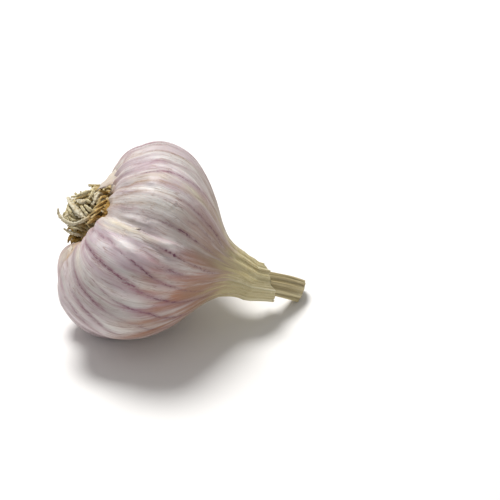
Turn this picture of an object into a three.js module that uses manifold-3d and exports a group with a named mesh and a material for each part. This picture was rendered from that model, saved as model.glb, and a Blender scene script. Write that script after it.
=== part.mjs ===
// A head of garlic lying on its side: the root end points to -X and the dried neck to +X.
// Millimetres, +Z up. The origin is under the middle of its box, on the surface it lies on.
//
// A place on the skin is given by two numbers: `t`, from 0 at the root plate to 1 at the mouth of
// the neck sheath, and `angle`, in degrees round the bulb's axis, 0 on top and 90 toward -Y.
// Other places are given in the bulb's own directions: [along its axis, toward its top, to its front].

import * as THREE from "three";
import { mergeVertices } from "three/addons/utils/BufferGeometryUtils.js";
import Module from "manifold-3d";

const wasm = await Module();
wasm.setup();

// ---- the head's outline and how it lies ----

const neckDip = 22.5; // degrees that the axis falls from the root end to the neck
const axisHeight = 30.3; // where the axis crosses the widest part, over the surface
const headOutline = [
  // [along the axis, radius]
  [-16.7, 10.3],
  [-17.9, 11.8],
  [-19.2, 14.6],
  [-19.4, 18.8],
  [-18.2, 23.2],
  [-15.2, 27.3],
  [-10.2, 30.7],
  [-4.0, 32.0],
  [2.0, 31.1],
  [7.8, 27.6],
  [14.0, 21.6],
  [19.8, 15.0],
  [24.2, 10.2],
  [28.4, 7.3],
  [33.0, 6.1],
  [37.0, 5.6],
];

// Each clove makes a lobe, between the groove where it starts and the next lobe's groove.
// `drawnBack` is how far its shoulder at the root end is drawn back toward the neck.
const lobes = [
  { start: -8, groove: 1.6, drawnBack: 2.2 },
  { start: 42, groove: 3.6, drawnBack: 0.8 },
  { start: 95, groove: 2.0, drawnBack: -0.8 },
  { start: 142, groove: 3.0, drawnBack: 0.2 },
  { start: 179, groove: 3.2, drawnBack: 0.6 },
  { start: 221, groove: 3.4, drawnBack: 1.6 },
  { start: 266, groove: 3.0, drawnBack: 2.6 },
  { start: 311, groove: 3.0, drawnBack: 0.6 },
];
const grooveSharpness = 1.5;

// The cloves are unequal, so the head leans to one side and its root end is askew.
const lean = { by: 3.4, toward: 148 };
const skew = { by: 7, toward: -30 };

// Cloves that stand out of the even lobes, and slack places between them.
const swellings = [
  { at: [0.28, -35], height: 2.1, spread: [0.15, 36] },
  { at: [0.14, -35], height: 0.5, spread: [0.07, 36] },
  { at: [0.76, -35], height: -1.6, spread: [0.09, 36] },
  { at: [0.08, 50], height: -1.8, spread: [0.1, 18] },
  { at: [0.13, 120], height: 2.4, spread: [0.08, 26] },
  { at: [0.45, 154], height: 0.7, spread: [0.07, 22] },
  { at: [0.66, 130], height: 1.4, spread: [0.08, 28] },
];

// How strong each of these is along the head, as [t, share].
const grooveAlong = [
  [0, 0.1], [0.07, 0.35], [0.2, 0.8], [0.33, 1], [0.47, 0.9],
  [0.6, 0.62], [0.73, 0.28], [0.8, 0.12], [0.87, 0],
];
const leanAlong = [
  [0, 0], [0.07, 0.15], [0.2, 0.6], [0.33, 1], [0.47, 1], [0.6, 0.9], [0.73, 0.6], [0.87, 0.1], [1, 0],
];
const skewAlong = [[0, 0.3], [0.07, 0.8], [0.2, 1], [0.33, 0.8], [0.47, 0.1], [0.6, 0]];
const pleatAlong = [[0, 0.8], [0.1, 1], [0.2, 0.6], [0.32, 0.2], [0.45, 0]];
const wrinkleAlong = [[0.6, 0], [0.72, 0.3], [0.84, 1]];

// ---- the skin's relief ----

// Folds and hollows of the loose skin, each along a line of [t, angle] down the bulb.
const skinFolds = [
  { height: 1.6, width: 1.6, fade: 0.05, line: [[0.2, 50], [0.3, 46.5], [0.4, 47], [0.5, 48.5], [0.6, 49]] },
  { height: -1.3, width: 1.7, fade: 0.05, line: [[0.3, 42.5], [0.4, 42.5], [0.52, 43.5]] },
  { height: -1.0, width: 1.9, fade: 0.06, line: [[0.35, 50], [0.47, 53], [0.58, 55.5]] },
  { height: 0.5, width: 2.6, fade: 0.1, line: [[0.4, 62], [0.66, 64]] },
  { height: 0.6, width: 2.4, fade: 0.1, line: [[0.2, 14], [0.5, 18]] },
  { height: 0.7, width: 2.2, fade: 0.1, line: [[0.2, 112], [0.55, 118]] },
  { height: -0.6, width: 2.4, fade: 0.1, line: [[0.15, 122], [0.6, 128]] },
  { height: 0.7, width: 2.2, fade: 0.1, line: [[0.18, 238], [0.5, 243]] },
  { height: 0.8, width: 2.2, fade: 0.1, line: [[0.2, 288], [0.62, 292]] },
  { height: -0.5, width: 2.4, fade: 0.1, line: [[0.15, 330], [0.5, 333]] },
];
const pleats = { count: 28, height: 0.45, drift: 1.3 }; // they run together at the root plate
const wrinkles = { count: 16, height: 0.4, drift: 1.1, twist: 4 }; // lengthwise, on the dried neck

// Torn tongues of dry skin. Each starts at [t, angle] and runs toward the root end, bent outward.
const tornFlaps = [
  { at: [0.16, -5], length: 4.2, width: 5.5, rise: 1.15, bow: 0.25 },
  { at: [0.12, 2], length: 4.5, width: 5.0, rise: 0.45, bow: 0.3 },
  { at: [0.1, 128], length: 5.0, width: 7.0, rise: 0.35, bow: 0.4 },
  { at: [0.12, 168], length: 5.5, width: 8.0, rise: 0.3, bow: 0.5 },
  { at: [0.12, 236], length: 5.0, width: 6.5, rise: 0.4, bow: 0.4 },
  { at: [0.12, 300], length: 5.5, width: 7.0, rise: 0.35, bow: 0.5 },
];
const foldTear = { at: [0.41, 46.5], length: 2.8, width: 2.0, rise: 0.3, bow: 0.2, towardNeck: true };
const flapThickness = 0.7;
const flapRoot = 2.2; // how far a flap runs back inside the head

// ---- the neck sheath and the stalk ----

const sag = { from: 18, to: 53, by: 8.3, power: 2.6 }; // the neck bends down as it dries
const swing = { from: 34, to: 53, by: 14, power: 1.2 }; // and away to the back
const mouth = { from: 26, middle: 40, slant: 4, slantToward: -40, ragged: 0.5 };
const socket = { floor: 30, middle: 34, radius: 4.3, lipRadius: 4.5 }; // the stalk stands in it
const stalk = {
  end: 53,
  radius: 3.9,
  ridges: 9,
  ridgeDepth: 0.28,
  ridgeTwist: 7, // degrees a millimetre
  flattened: 0.08, // share by which it is narrower one way than the other
  core: 2.4, // radius of the hollow in the cut end
  rimDepth: 0.5, // how far the cut end dips between its rim and its core
  rows: 10,
  sides: 27,
};
const fit = 0.3; // gap between neighbouring pieces

// ---- the root end ----

const plate = { recess: 2.0, radius: 9.9, dome: 0.9, sides: 32 };
const rootRule = {
  count: 25,
  leftOut: [0, 6, 10], // these would stick out of the tangle
  seed: 41,
  sunk: 1.4, // how deep each root starts inside the plate
  lengths: [11, 17],
  widths: [1.5, 2.5],
  depths: [0.9, 1.2],
  splay: [0.05, 0.2, 0.3], // outward: of every root, more toward the rim, and at random
  swirl: 2.6, // how far it may set off sideways
  curls: [0.35, 0.95], // radians at each step
  steps: 5,
  sides: 5,
};
const rootTaper = [1.15, 1, 0.95, 0.9, 0.75, 0.4];
const leastDepthTaper = 0.6;
const leastDetail = 0.02; // slivers thinner than this are left out where roots meet
const goldenAngle = 137.5; // spreads the roots evenly over the plate
const tuftReach = [[-29, 4.2], [-25, 7.1], [-22, 8.9], [-17, 10]]; // [along, radius]: roots stay inside
const tuftDroop = [0.15, -0.12]; // its middle, [up, forward], for each mm along

// The matted heart of the tangle, which the roots stand out of.
const heart = { from: -16, to: -25.5, share: 0.52, lump: 0.14, rings: 5, sides: 12 };

// The roots on the side away from the ground and toward the front are laid one by one, each with its
// width and its points [along, up, forward]; the rest are seeded.
const laidRoots = [
  {
    width: 1.25,
    points: [
      [-16, 4.1, 7.2], [-19.3, 4.1, 7.2], [-20.1, 3.8, 8.4], [-21.2, 2.8, 8.9], [-22.4, 1.4, 9.1],
      [-23.8, -0.2, 8.6], [-25.5, -1.1, 7.8], [-27.3, -1.3, 6.7], [-28.9, -0.8, 5.6],
      [-29.7, 0.4, 4.8],
    ],
  },
  {
    width: 2.3,
    points: [
      [-16, 2, 6], [-20, 2.4, 7.1], [-21.6, 3.4, 8], [-23.8, 3.5, 7.2], [-25.7, 3.6, 5.5],
      [-27.2, 3.4, 3.6], [-28.2, 3, 1.2],
    ],
  },
  {
    width: 1.15,
    points: [
      [-16, 3.2, 5.6], [-20, 2.8, 6.6], [-20.9, 4.2, 7.7], [-22.3, 4.9, 7.2], [-23.7, 5.2, 5.9],
    ],
  },
  {
    width: 1.05,
    points: [
      [-16, 6.6, 4.4], [-18, 6.8, 4.7], [-19, 6.5, 6.6], [-19.9, 5.9, 7.2], [-20.6, 5.9, 7.2],
      [-21.8, 6.1, 6.8], [-22.9, 5.9, 5.9],
    ],
  },
  {
    width: 1.4,
    points: [
      [-16, 4.2, 1.5], [-21.4, 4.5, 1.8], [-23.2, 6, 4.6], [-24.4, 5.6, 4.7], [-25.5, 5, 4],
    ],
  },
  {
    width: 1.15,
    points: [
      [-16, 6.9, -3.9], [-19.4, 6.3, -4.8], [-21.4, 8.3, -0.5], [-22.6, 8, 1.1], [-23.5, 7.5, 1.5],
      [-24.6, 6.5, 2], [-26, 5.1, 2.3], [-27.4, 3.9, 1.9],
    ],
  },
  {
    width: 0.95,
    points: [
      [-16, 5.4, -5.6], [-20.7, 6.6, -5.2], [-21.9, 8.1, -1], [-21.8, 8.4, 1.8], [-21.9, 8.1, 3.4],
      [-22.4, 7.2, 4.3], [-22.6, 6.2, 4.7],
    ],
  },
  {
    width: 1.3,
    points: [
      [-16, 7.2, 0.9], [-18, 8.1, 0.6], [-19.9, 9, 1.9], [-20.4, 8.9, 3.4], [-20.4, 8.4, 4.5],
      [-20.4, 7.6, 5.4], [-20.7, 6.8, 5.9],
    ],
  },
  {
    width: 0.8,
    points: [
      [-16, 8.3, 2.3], [-16.6, 8.5, 2.2], [-18.2, 8.3, 4.9], [-19.3, 7, 6.2], [-19.9, 5.9, 7.1],
      [-20.9, 5.3, 6.5],
    ],
  },
  {
    width: 0.8,
    points: [
      [-16, 7.4, 3.9], [-17, 7.7, 4.6], [-18.7, 6.6, 7], [-19.6, 5.5, 7.7], [-20.6, 4.1, 8.1],
    ],
  },
  { width: 0.9, points: [[-16, 6, 5.9], [-17.4, 6.6, 6], [-18.7, 5.4, 8], [-19.6, 3.9, 8.5]] },
  {
    width: 1,
    points: [
      [-16, 4.2, 6.9], [-17.9, 5, 7.5], [-19, 3.8, 8.9], [-19.7, 2.8, 9.4], [-20.4, 1.7, 9.1],
    ],
  },
  {
    width: 1.1,
    points: [
      [-16, 7.9, -2.7], [-18.3, 6.7, -5.3], [-20, 8.5, -2], [-20.9, 8.7, -0.1], [-21.1, 8.1, 0.8],
    ],
  },
  {
    width: 1,
    points: [
      [-16, 8.3, -0.9], [-17, 8.5, -1.1], [-19.1, 9.2, 1], [-20.1, 9.1, 0.7], [-20.5, 8.4, 0.9],
    ],
  },
  {
    width: 0.9,
    points: [
      [-16, 8.3, 1], [-16.4, 8.5, 1.2], [-18.3, 9.1, 2.9], [-19.1, 8.9, 3.9], [-19.1, 8.3, 4.8],
      [-19.4, 7.2, 5.5],
    ],
  },
  {
    width: 1.2,
    points: [
      [-16, -4.6, 6.4], [-18.8, -4.5, 6.7], [-20.5, -2.9, 9], [-22, -2.9, 9.3], [-24.2, -4.2, 7.8],
      [-25.9, -4.6, 6.7],
    ],
  },
  {
    width: 0.9,
    points: [
      [-16, -1.9, 7.7], [-19.9, -1.7, 7.8], [-21.8, -0.6, 9.3], [-23.6, -1.4, 8.8],
      [-25.3, -2.3, 7.8],
    ],
  },
  {
    width: 0.85,
    points: [
      [-16, -5.6, 3.2], [-19.5, -6.7, 4.8], [-22.3, -5.7, 7.4], [-22.9, -8.5, 5.3],
      [-23, -9.8, 5.8],
    ],
  },
  {
    width: 0.85,
    points: [
      [-16, -7.3, 2.9], [-19, -7, 4.9], [-21.4, -6.4, 7], [-22, -8.5, 5.8], [-21.8, -9.4, 6.4],
    ],
  },
  {
    width: 0.85,
    points: [
      [-16, -6, 5.3], [-18.5, -7.3, 5.1], [-20.5, -5.8, 7.5], [-21, -8.3, 5.7], [-20.7, -9.2, 6.3],
    ],
  },
  { width: 0.8, points: [[-16, -7.7, 4.6], [-18, -7.7, 5.3], [-19.8, -5.9, 7.4], [-19.9, -8.6, 5.9]] },
  {
    width: 1.2,
    points: [
      [-16, 4.2, -7], [-19.8, 6.7, -5.3], [-21.1, 7.4, -3.6], [-22.4, 7, -3.6], [-23.6, 5.5, -5],
    ],
  },
  {
    width: 0.95,
    points: [
      [-16, 2.2, -2.2], [-23.5, 3.2, -0.5], [-25.6, 4.5, 0.7], [-26.7, 4.3, -0.2],
    ],
  },
  {
    width: 0.85,
    points: [
      [-16, 3.4, -3.4], [-22.5, 3.4, -2.2], [-24.4, 5.3, -0.1], [-25.4, 5.5, -0.4],
    ],
  },
  {
    width: 0.75,
    points: [
      [-16, 0.8, 5.2], [-20.9, 1.5, 7], [-23.6, 0.9, 8.1], [-25.1, 0.6, 7.6], [-26.1, 0.9, 6.7],
    ],
  },
  {
    width: 1.5,
    points: [
      [-16, 0.4, 4], [-22.3, 0.5, 6.2], [-25, 1.6, 6.8], [-26.5, 2.1, 5.7], [-27.3, 2.5, 4.1],
    ],
  },
  {
    width: 0.85,
    points: [
      [-16, 5.4, 3.2], [-19.9, 5.7, 4.6], [-21.4, 6.9, 5.1], [-22.5, 6.8, 4.6], [-22.9, 6.1, 4.6],
    ],
  },
  {
    width: 2.2,
    points: [
      [-16, 4.6, -3.6], [-20.1, 5.3, -4.1], [-22.2, 6, 0.2], [-24, 5, 1.6], [-25.8, 3.8, 2.1],
    ],
  },
  { width: 2, points: [[-16, 3.2, 1.2], [-20.7, 5.8, 1.3], [-23.1, 5, 4], [-25.1, 3.6, 4.3]] },
  {
    width: 1.6,
    points: [
      [-16, -3.4, 5.2], [-21.1, -0.5, 7.3], [-23.5, -1, 8], [-25.4, -1, 7.3], [-26.4, -0.3, 6.5],
    ],
  },
];
const laidSide = { angle: 55, room: 0.3 }; // share of the reach that is kept for the laid roots

// ---- mesh resolution of the head ----

const headRows = 34;
const anglesPerLobe = 11;
const extraAngles = [44.2, 48.6, 53.0, 57.6]; // closer together where the fold of skin is

const degree = Math.PI / 180;
const outline = new THREE.SplineCurve(headOutline.map(([along, radius]) => new THREE.Vector2(along, radius)));
const axis = new THREE.Vector3(Math.cos(neckDip * degree), 0, -Math.sin(neckDip * degree));
const top = new THREE.Vector3(Math.sin(neckDip * degree), 0, Math.cos(neckDip * degree));
const front = new THREE.Vector3(0, -1, 0);

const { euclideanModulo, lerp, smoothstep } = THREE.MathUtils;

function seededRandom(seed) {
  let state = seed;
  return () => {
    state = (state * 1664525 + 1013904223) % 4294967296;
    return state / 4294967296;
  };
}

// The value at x of the line through [x, value] points, level beyond its ends.
function valueAt(points, x) {
  const next = points.findIndex(([at]) => at >= x);
  if (next === 0) return points[0][1];
  if (next < 0) return points[points.length - 1][1];
  const [x0, y0] = points[next - 1];
  const [x1, y1] = points[next];
  return lerp(y0, y1, (x - x0) / (x1 - x0));
}

// A place given in the bulb's own directions.
function place([along, up, forward]) {
  return new THREE.Vector3(0, 0, axisHeight)
    .addScaledVector(axis, along)
    .addScaledVector(top, up)
    .addScaledVector(front, forward);
}

// How far a bend has carried the neck sideways at a distance along the axis.
function bent(bend, along) {
  return bend.by * Math.max(0, (along - bend.from) / (bend.to - bend.from)) ** bend.power;
}

// The lobe at an angle: how far across it the angle lies, and the depth of its grooves there.
function lobeAt(angle) {
  const turned = euclideanModulo(angle - lobes[0].start, 360) + lobes[0].start;
  const index = lobes.findLastIndex((lobe) => lobe.start <= turned);
  const lobe = lobes[index];
  const next = lobes[(index + 1) % lobes.length];
  const across = (turned - lobe.start) / euclideanModulo(next.start - lobe.start, 360);
  const groove = lerp(lobe.groove, next.groove, smoothstep(across, 0, 1));
  return { across, groove, drawnBack: lobe.drawnBack };
}

// How many degrees one angle is past another, from -180 to 180.
function turnedPast(angle, other) {
  return euclideanModulo(angle - other + 180, 360) - 180;
}

// How far the skin stands out of the smooth lobes: swellings, folds, root-end pleats and neck wrinkles.
function skinRelief(t, angle, radius) {
  const turn = angle * degree;
  let relief = 0;
  for (const { at, height, spread } of swellings) {
    const offset = Math.hypot((t - at[0]) / spread[0], turnedPast(angle, at[1]) / spread[1]);
    relief += height * Math.exp(-offset * offset);
  }
  for (const fold of skinFolds) {
    const from = fold.line[0][0];
    const to = fold.line[fold.line.length - 1][0];
    const begins = smoothstep(t, from - fold.fade, from + fold.fade);
    const ends = smoothstep(t, to - fold.fade, to + fold.fade);
    const away = (turnedPast(angle, valueAt(fold.line, t)) * degree * radius) / fold.width;
    relief += fold.height * (begins - ends) * Math.exp(-away * away);
  }
  const pleat = Math.sin(turn * pleats.count + pleats.drift * Math.sin(turn * 3));
  const wrinkle = Math.sin(turn * wrinkles.count + wrinkles.drift * Math.sin(turn * 2) + wrinkles.twist * t);
  relief += pleats.height * pleat * valueAt(pleatAlong, t);
  relief += wrinkles.height * wrinkle * valueAt(wrinkleAlong, t);
  return relief;
}

// How far along the axis the neck sheath reaches at an angle: its mouth is slanted and ragged.
function mouthAt(angle) {
  const ragged = Math.sin(angle * degree * 5 + 0.6) + 0.6 * Math.sin(angle * degree * 11);
  return mouth.middle - mouth.slant * Math.cos((angle - mouth.slantToward) * degree) + mouth.ragged * ragged;
}

// A point on a round section of the bent neck.
function neckPoint(along, radius, angle) {
  const up = radius * Math.cos(angle * degree) - bent(sag, along);
  return place([along, up, radius * Math.sin(angle * degree) - bent(swing, along)]);
}

// A point `lift` outside the head's skin.
function skinPoint(t, angle, lift = 0) {
  const at = outline.getPoint(t);
  const tangent = outline.getTangent(t);
  const { across, groove, drawnBack } = lobeAt(angle);
  const nearGroove = ((1 + Math.cos(2 * Math.PI * across)) / 2) ** grooveSharpness;
  const out = lift + skinRelief(t, angle, at.y) - groove * nearGroove * valueAt(grooveAlong, t);
  const radius = at.y + tangent.x * out;
  const skewed = Math.tan(skew.by * degree) * radius * Math.cos((angle - skew.toward) * degree);
  const shoulder = drawnBack * Math.sin(Math.PI * across) ** 2;
  let along = at.x - tangent.y * out + (skewed + shoulder) * valueAt(skewAlong, t);
  if (along > mouth.from) {
    const sheathEnd = headOutline[headOutline.length - 1][0];
    along = mouth.from + ((along - mouth.from) * (mouthAt(angle) - mouth.from)) / (sheathEnd - mouth.from);
  }
  const leaning = lean.by * valueAt(leanAlong, t);
  const up = radius * Math.cos(angle * degree) + leaning * Math.cos(lean.toward * degree);
  const forward = radius * Math.sin(angle * degree) + leaning * Math.sin(lean.toward * degree);
  return place([along, up - bent(sag, along), forward - bent(swing, along)]);
}

// ---- making solids ----

// A closed surface over rings of points, with a fan to a point at each end.
function loft(start, rings, end) {
  const sides = rings[0].length;
  const points = [start, ...rings.flat(), end];
  const corner = (ring, side) => 1 + ring * sides + (side % sides);
  const faces = [];
  for (let side = 0; side < sides; side += 1) {
    faces.push([0, corner(0, side + 1), corner(0, side)]);
    faces.push([points.length - 1, corner(rings.length - 1, side), corner(rings.length - 1, side + 1)]);
    for (let ring = 0; ring + 1 < rings.length; ring += 1) {
      faces.push([corner(ring, side), corner(ring, side + 1), corner(ring + 1, side + 1)]);
      faces.push([corner(ring, side), corner(ring + 1, side + 1), corner(ring + 1, side)]);
    }
  }
  const cross = new THREE.Vector3();
  const volumes = faces.map(([a, b, c]) => points[a].dot(cross.crossVectors(points[b], points[c])));
  const volume = volumes.reduce((sum, part) => sum + part, 0);
  const outward = volume > 0 ? faces : faces.map(([a, b, c]) => [a, c, b]);
  const geometry = new THREE.BufferGeometry().setFromPoints(points);
  geometry.setIndex(outward.flat());
  return geometry;
}

// A geometry as a solid that can be joined and cut.
function toSolid(geometry) {
  geometry.deleteAttribute("normal");
  geometry.deleteAttribute("uv");
  const merged = mergeVertices(geometry);
  const vertProperties = new Float32Array(merged.attributes.position.array);
  const triVerts = new Uint32Array(merged.index.array);
  return new wasm.Manifold(new wasm.Mesh({ numProp: 3, vertProperties, triVerts }));
}

// A solid's biggest body, without loose scraps and sealed bubbles.
function biggestBody(solid) {
  return solid.decompose().reduce((best, body) => (body.volume() > best.volume() ? body : best));
}

function toMesh(name, solid, material) {
  const { vertProperties, triVerts } = biggestBody(solid).getMesh();
  const geometry = new THREE.BufferGeometry();
  geometry.setAttribute("position", new THREE.BufferAttribute(vertProperties, 3));
  geometry.setIndex(new THREE.BufferAttribute(triVerts, 1));
  geometry.computeVertexNormals();
  const mesh = new THREE.Mesh(geometry, material);
  mesh.name = name;
  return mesh;
}

// A strip or root: an oval section swept along points, with its wide side square to `faceTo`.
function sweep(points, faceTo, widths, depths, sides) {
  const rings = points.map((point, i) => {
    const before = points[Math.max(0, i - 1)];
    const after = points[Math.min(points.length - 1, i + 1)];
    const direction = after.clone().sub(before).normalize();
    const across = new THREE.Vector3().crossVectors(direction, faceTo).normalize();
    const through = new THREE.Vector3().crossVectors(across, direction);
    return Array.from({ length: sides }, (_, side) => {
      const turn = (2 * Math.PI * (side + 0.5)) / sides;
      return point.clone()
        .addScaledVector(across, (Math.cos(turn) * widths[i]) / 2)
        .addScaledVector(through, (Math.sin(turn) * depths[i]) / 2);
    });
  });
  return toSolid(loft(points[0], rings, points[points.length - 1]));
}

// ---- the head ----

function headAngles() {
  const even = lobes.flatMap((lobe, i) => {
    const width = euclideanModulo(lobes[(i + 1) % lobes.length].start - lobe.start, 360);
    return Array.from({ length: anglesPerLobe }, (_, step) => lobe.start + (width * step) / anglesPerLobe);
  });
  return [...even, ...extraAngles].sort((a, b) => a - b);
}

// The head with its recess for the root plate and its socket for the stalk, all of it `lift` bigger.
function headSolid(lift = 0) {
  const angles = headAngles();
  const recessFloor = headOutline[0][0] + plate.recess - lift;
  const socketFloor = socket.floor + lift;
  const ring = (pointAt) => angles.map(pointAt);
  const rings = [ring((angle) => neckPoint(recessFloor, plate.radius - lift, angle))];
  for (let row = 0; row <= headRows; row += 1) {
    rings.push(ring((angle) => skinPoint(row / headRows, angle, lift)));
  }
  rings.push(ring((angle) => neckPoint(mouthAt(angle), socket.lipRadius - lift, angle)));
  rings.push(ring((angle) => neckPoint(socket.middle, socket.radius - lift, angle)));
  rings.push(ring((angle) => neckPoint(socketFloor, socket.radius - lift, angle)));
  return toSolid(loft(neckPoint(recessFloor, 0, 0), rings, neckPoint(socketFloor, 0, 0)));
}

// A tongue of dry skin that leaves the head at a slant, with its other end inside the head.
function tornFlap({ at: [t, angle], length, width, rise, bow, towardNeck = false }, lift = 0) {
  const tStep = towardNeck ? 0.02 : -0.02;
  const base = skinPoint(t, angle);
  const run = skinPoint(t + tStep, angle).sub(base).normalize();
  const side = skinPoint(t, angle + 2).sub(base).normalize();
  const outward = new THREE.Vector3().crossVectors(run, side).normalize();
  if (outward.dot(skinPoint(t, angle, 1).sub(base)) < 0) outward.negate();
  const stations = [-flapRoot, 0, length * 0.45, length * 0.8, length + lift];
  const points = stations.map((s) => base.clone()
    .addScaledVector(run, s)
    .addScaledVector(outward, s < 0 ? -flapRoot * 0.5 : rise * s - (bow * rise * s * s) / length));
  const widths = [0.8, 1, 0.85, 0.6, 0.25].map((share) => share * width + 2 * lift);
  return sweep(points, outward, widths, points.map(() => flapThickness + 2.4 * lift), 6);
}

// ---- the root tuft ----

// The middle of the tangle at a distance along the axis: it droops as it leaves the plate.
function tuftMiddle(along) {
  const beyond = Math.min(0, along - headOutline[0][0]);
  return new THREE.Vector3(along, tuftDroop[0] * beyond, tuftDroop[1] * beyond);
}

function tuftHeart() {
  const rings = Array.from({ length: heart.rings + 1 }, (_, row) => {
    const along = lerp(heart.from, heart.to, row / heart.rings);
    const radius = heart.share * valueAt(tuftReach, along);
    return Array.from({ length: heart.sides }, (__, side) => {
      const turn = (2 * Math.PI * side) / heart.sides;
      const reach = radius * (1 + heart.lump * Math.sin(3 * turn + 2 * row));
      const around = new THREE.Vector3(0, Math.cos(turn), Math.sin(turn));
      return place(tuftMiddle(along).addScaledVector(around, reach).toArray());
    });
  });
  const ends = [heart.from, heart.to].map((along) => place(tuftMiddle(along).toArray()));
  return toSolid(loft(ends[0], rings, ends[1]));
}

// How far a seeded root may be from the tangle's middle: less where the laid roots are.
function seededReach(along, turn) {
  const toward = Math.max(0, Math.cos(turn - laidSide.angle * degree));
  return valueAt(tuftReach, along) * (1 - laidSide.room * toward);
}

// A curled root: it leaves the plate near-square and turns a little more the same way at each step.
function curledRoot(random, index) {
  const share = (index + 0.5) / rootRule.count;
  const turn = index * goldenAngle * degree + random();
  const from = plate.radius * 0.9 * Math.sqrt(share);
  const between = ([low, high]) => lerp(low, high, random());
  const length = between(rootRule.lengths) * lerp(1, 0.75, share);
  const [base, toRim, varied] = rootRule.splay;
  const splay = base + toRim * share + varied * (random() - 0.4);
  const swirl = rootRule.swirl * (random() - 0.5);
  const direction = new THREE.Vector3(
    -1,
    splay * Math.cos(turn) - swirl * Math.sin(turn),
    splay * Math.sin(turn) + swirl * Math.cos(turn),
  ).normalize();
  const curlAxis = new THREE.Vector3(random() - 0.5, random() - 0.5, random() - 0.5)
    .cross(direction)
    .normalize();
  const curl = between(rootRule.curls);
  const start = headOutline[0][0] + rootRule.sunk;
  const point = new THREE.Vector3(start, from * Math.cos(turn), from * Math.sin(turn));
  const points = [place(point.toArray())];
  for (let step = 0; step < rootRule.steps; step += 1) {
    point.addScaledVector(direction, length / rootRule.steps);
    point.x = Math.max(point.x, tuftReach[0][0]);
    const middle = tuftMiddle(point.x);
    const around = Math.atan2(point.z - middle.z, point.y - middle.y);
    const inward = Math.min(1, seededReach(point.x, around) / point.distanceTo(middle));
    point.lerpVectors(middle, point, inward);
    if (step > 0) direction.applyAxisAngle(curlAxis, curl);
    points.push(place(point.toArray()));
  }
  const width = between(rootRule.widths);
  const depth = between(rootRule.depths);
  const faceTo = new THREE.Vector3(random() - 0.5, random() - 0.5, random() - 0.5).normalize();
  const widths = rootTaper.map((taper) => taper * width);
  const depths = rootTaper.map((taper) => Math.max(taper, leastDepthTaper) * depth);
  return sweep(points, faceTo, widths, depths, rootRule.sides);
}

function laidRoot({ width, points }) {
  const curve = new THREE.CatmullRomCurve3(points.map(place));
  const steps = points.length + 1;
  const path = curve.getPoints(steps);
  const widths = path.map((_, i) => width * (i > steps - 2 ? 0.75 : 1) * (i === steps ? 0.6 : 1));
  const last = new THREE.Vector3(...points[points.length - 2]);
  const faceTo = place(last.toArray()).sub(place(tuftMiddle(last.x).toArray())).normalize();
  return sweep(path, faceTo, widths, widths.map((across) => Math.min(across, 1.1)), rootRule.sides);
}

function plateSolid() {
  const floor = headOutline[0][0] + plate.recess + fit;
  const face = headOutline[0][0];
  const profile = [
    [0, floor],
    [plate.radius, floor],
    [plate.radius, face],
    [plate.radius * 0.7, face - plate.dome * 0.7],
    [0, face - plate.dome],
  ];
  const corners = profile.map(([radius, along]) => new THREE.Vector2(radius, along));
  const geometry = new THREE.LatheGeometry(corners, plate.sides);
  geometry.applyMatrix4(new THREE.Matrix4().makeBasis(top, axis, front).setPosition(0, 0, axisHeight));
  return toSolid(geometry);
}

function rootTuft(clearOfHead) {
  const random = seededRandom(rootRule.seed);
  const solids = [plateSolid(), tuftHeart(), ...laidRoots.map(laidRoot)];
  for (let index = 0; index < rootRule.count; index += 1) {
    const root = curledRoot(random, index);
    if (!rootRule.leftOut.includes(index)) solids.push(root);
  }
  return wasm.Manifold.union(solids).subtract(clearOfHead).simplify(leastDetail);
}

// ---- the stalk ----

function stalkSolid() {
  const from = socket.floor + fit;
  const angles = Array.from({ length: stalk.sides }, (_, side) => (side * 360) / stalk.sides);
  const rings = [];
  for (let row = 0; row <= stalk.rows; row += 1) {
    const along = lerp(from, stalk.end, row / stalk.rows);
    rings.push(angles.map((angle) => {
      const ridge = Math.cos((angle * stalk.ridges + along * stalk.ridgeTwist) * degree) - 1;
      const oval = 1 - stalk.flattened * Math.cos(2 * angle * degree);
      return neckPoint(along, (stalk.radius + stalk.ridgeDepth * ridge) * oval, angle);
    }));
  }
  const dipped = stalk.end - stalk.rimDepth;
  rings.push(angles.map((angle) => neckPoint(dipped, stalk.core, angle)));
  rings.push(angles.map((angle) => neckPoint(stalk.end, stalk.core * 0.8, angle)));
  return toSolid(loft(neckPoint(from, 0, 0), rings, neckPoint(dipped, 0, 0)));
}

// ---- the whole bulb ----

const skinMaterial = new THREE.MeshStandardMaterial({ color: 0xcdbfc9, roughness: 0.45, metalness: 0 });
const rootMaterial = new THREE.MeshStandardMaterial({ color: 0xbfae84, roughness: 0.85, metalness: 0 });
const stalkMaterial = new THREE.MeshStandardMaterial({ color: 0xb8a476, roughness: 0.7, metalness: 0 });

// Everything under the surface that the bulb lies on, which cuts its small flat resting spots.
const below = toSolid(new THREE.BoxGeometry(300, 300, 100).translate(0, 0, -50));
const head = wasm.Manifold.union([headSolid(), ...[...tornFlaps, foldTear].map((flap) => tornFlap(flap))]);
const clearOfHead = wasm.Manifold.union([headSolid(fit), ...tornFlaps.map((flap) => tornFlap(flap, fit))]);

const bulb = new THREE.Group();
bulb.add(toMesh("bulb_head", head.subtract(below), skinMaterial));
bulb.add(toMesh("root_tuft", rootTuft(clearOfHead), rootMaterial));
bulb.add(toMesh("stalk", stalkSolid().subtract(clearOfHead).subtract(below), stalkMaterial));

const middle = new THREE.Box3().setFromObject(bulb).getCenter(new THREE.Vector3());
bulb.position.set(-middle.x, -middle.y, 0);

export default bulb;
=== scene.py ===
import math

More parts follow.
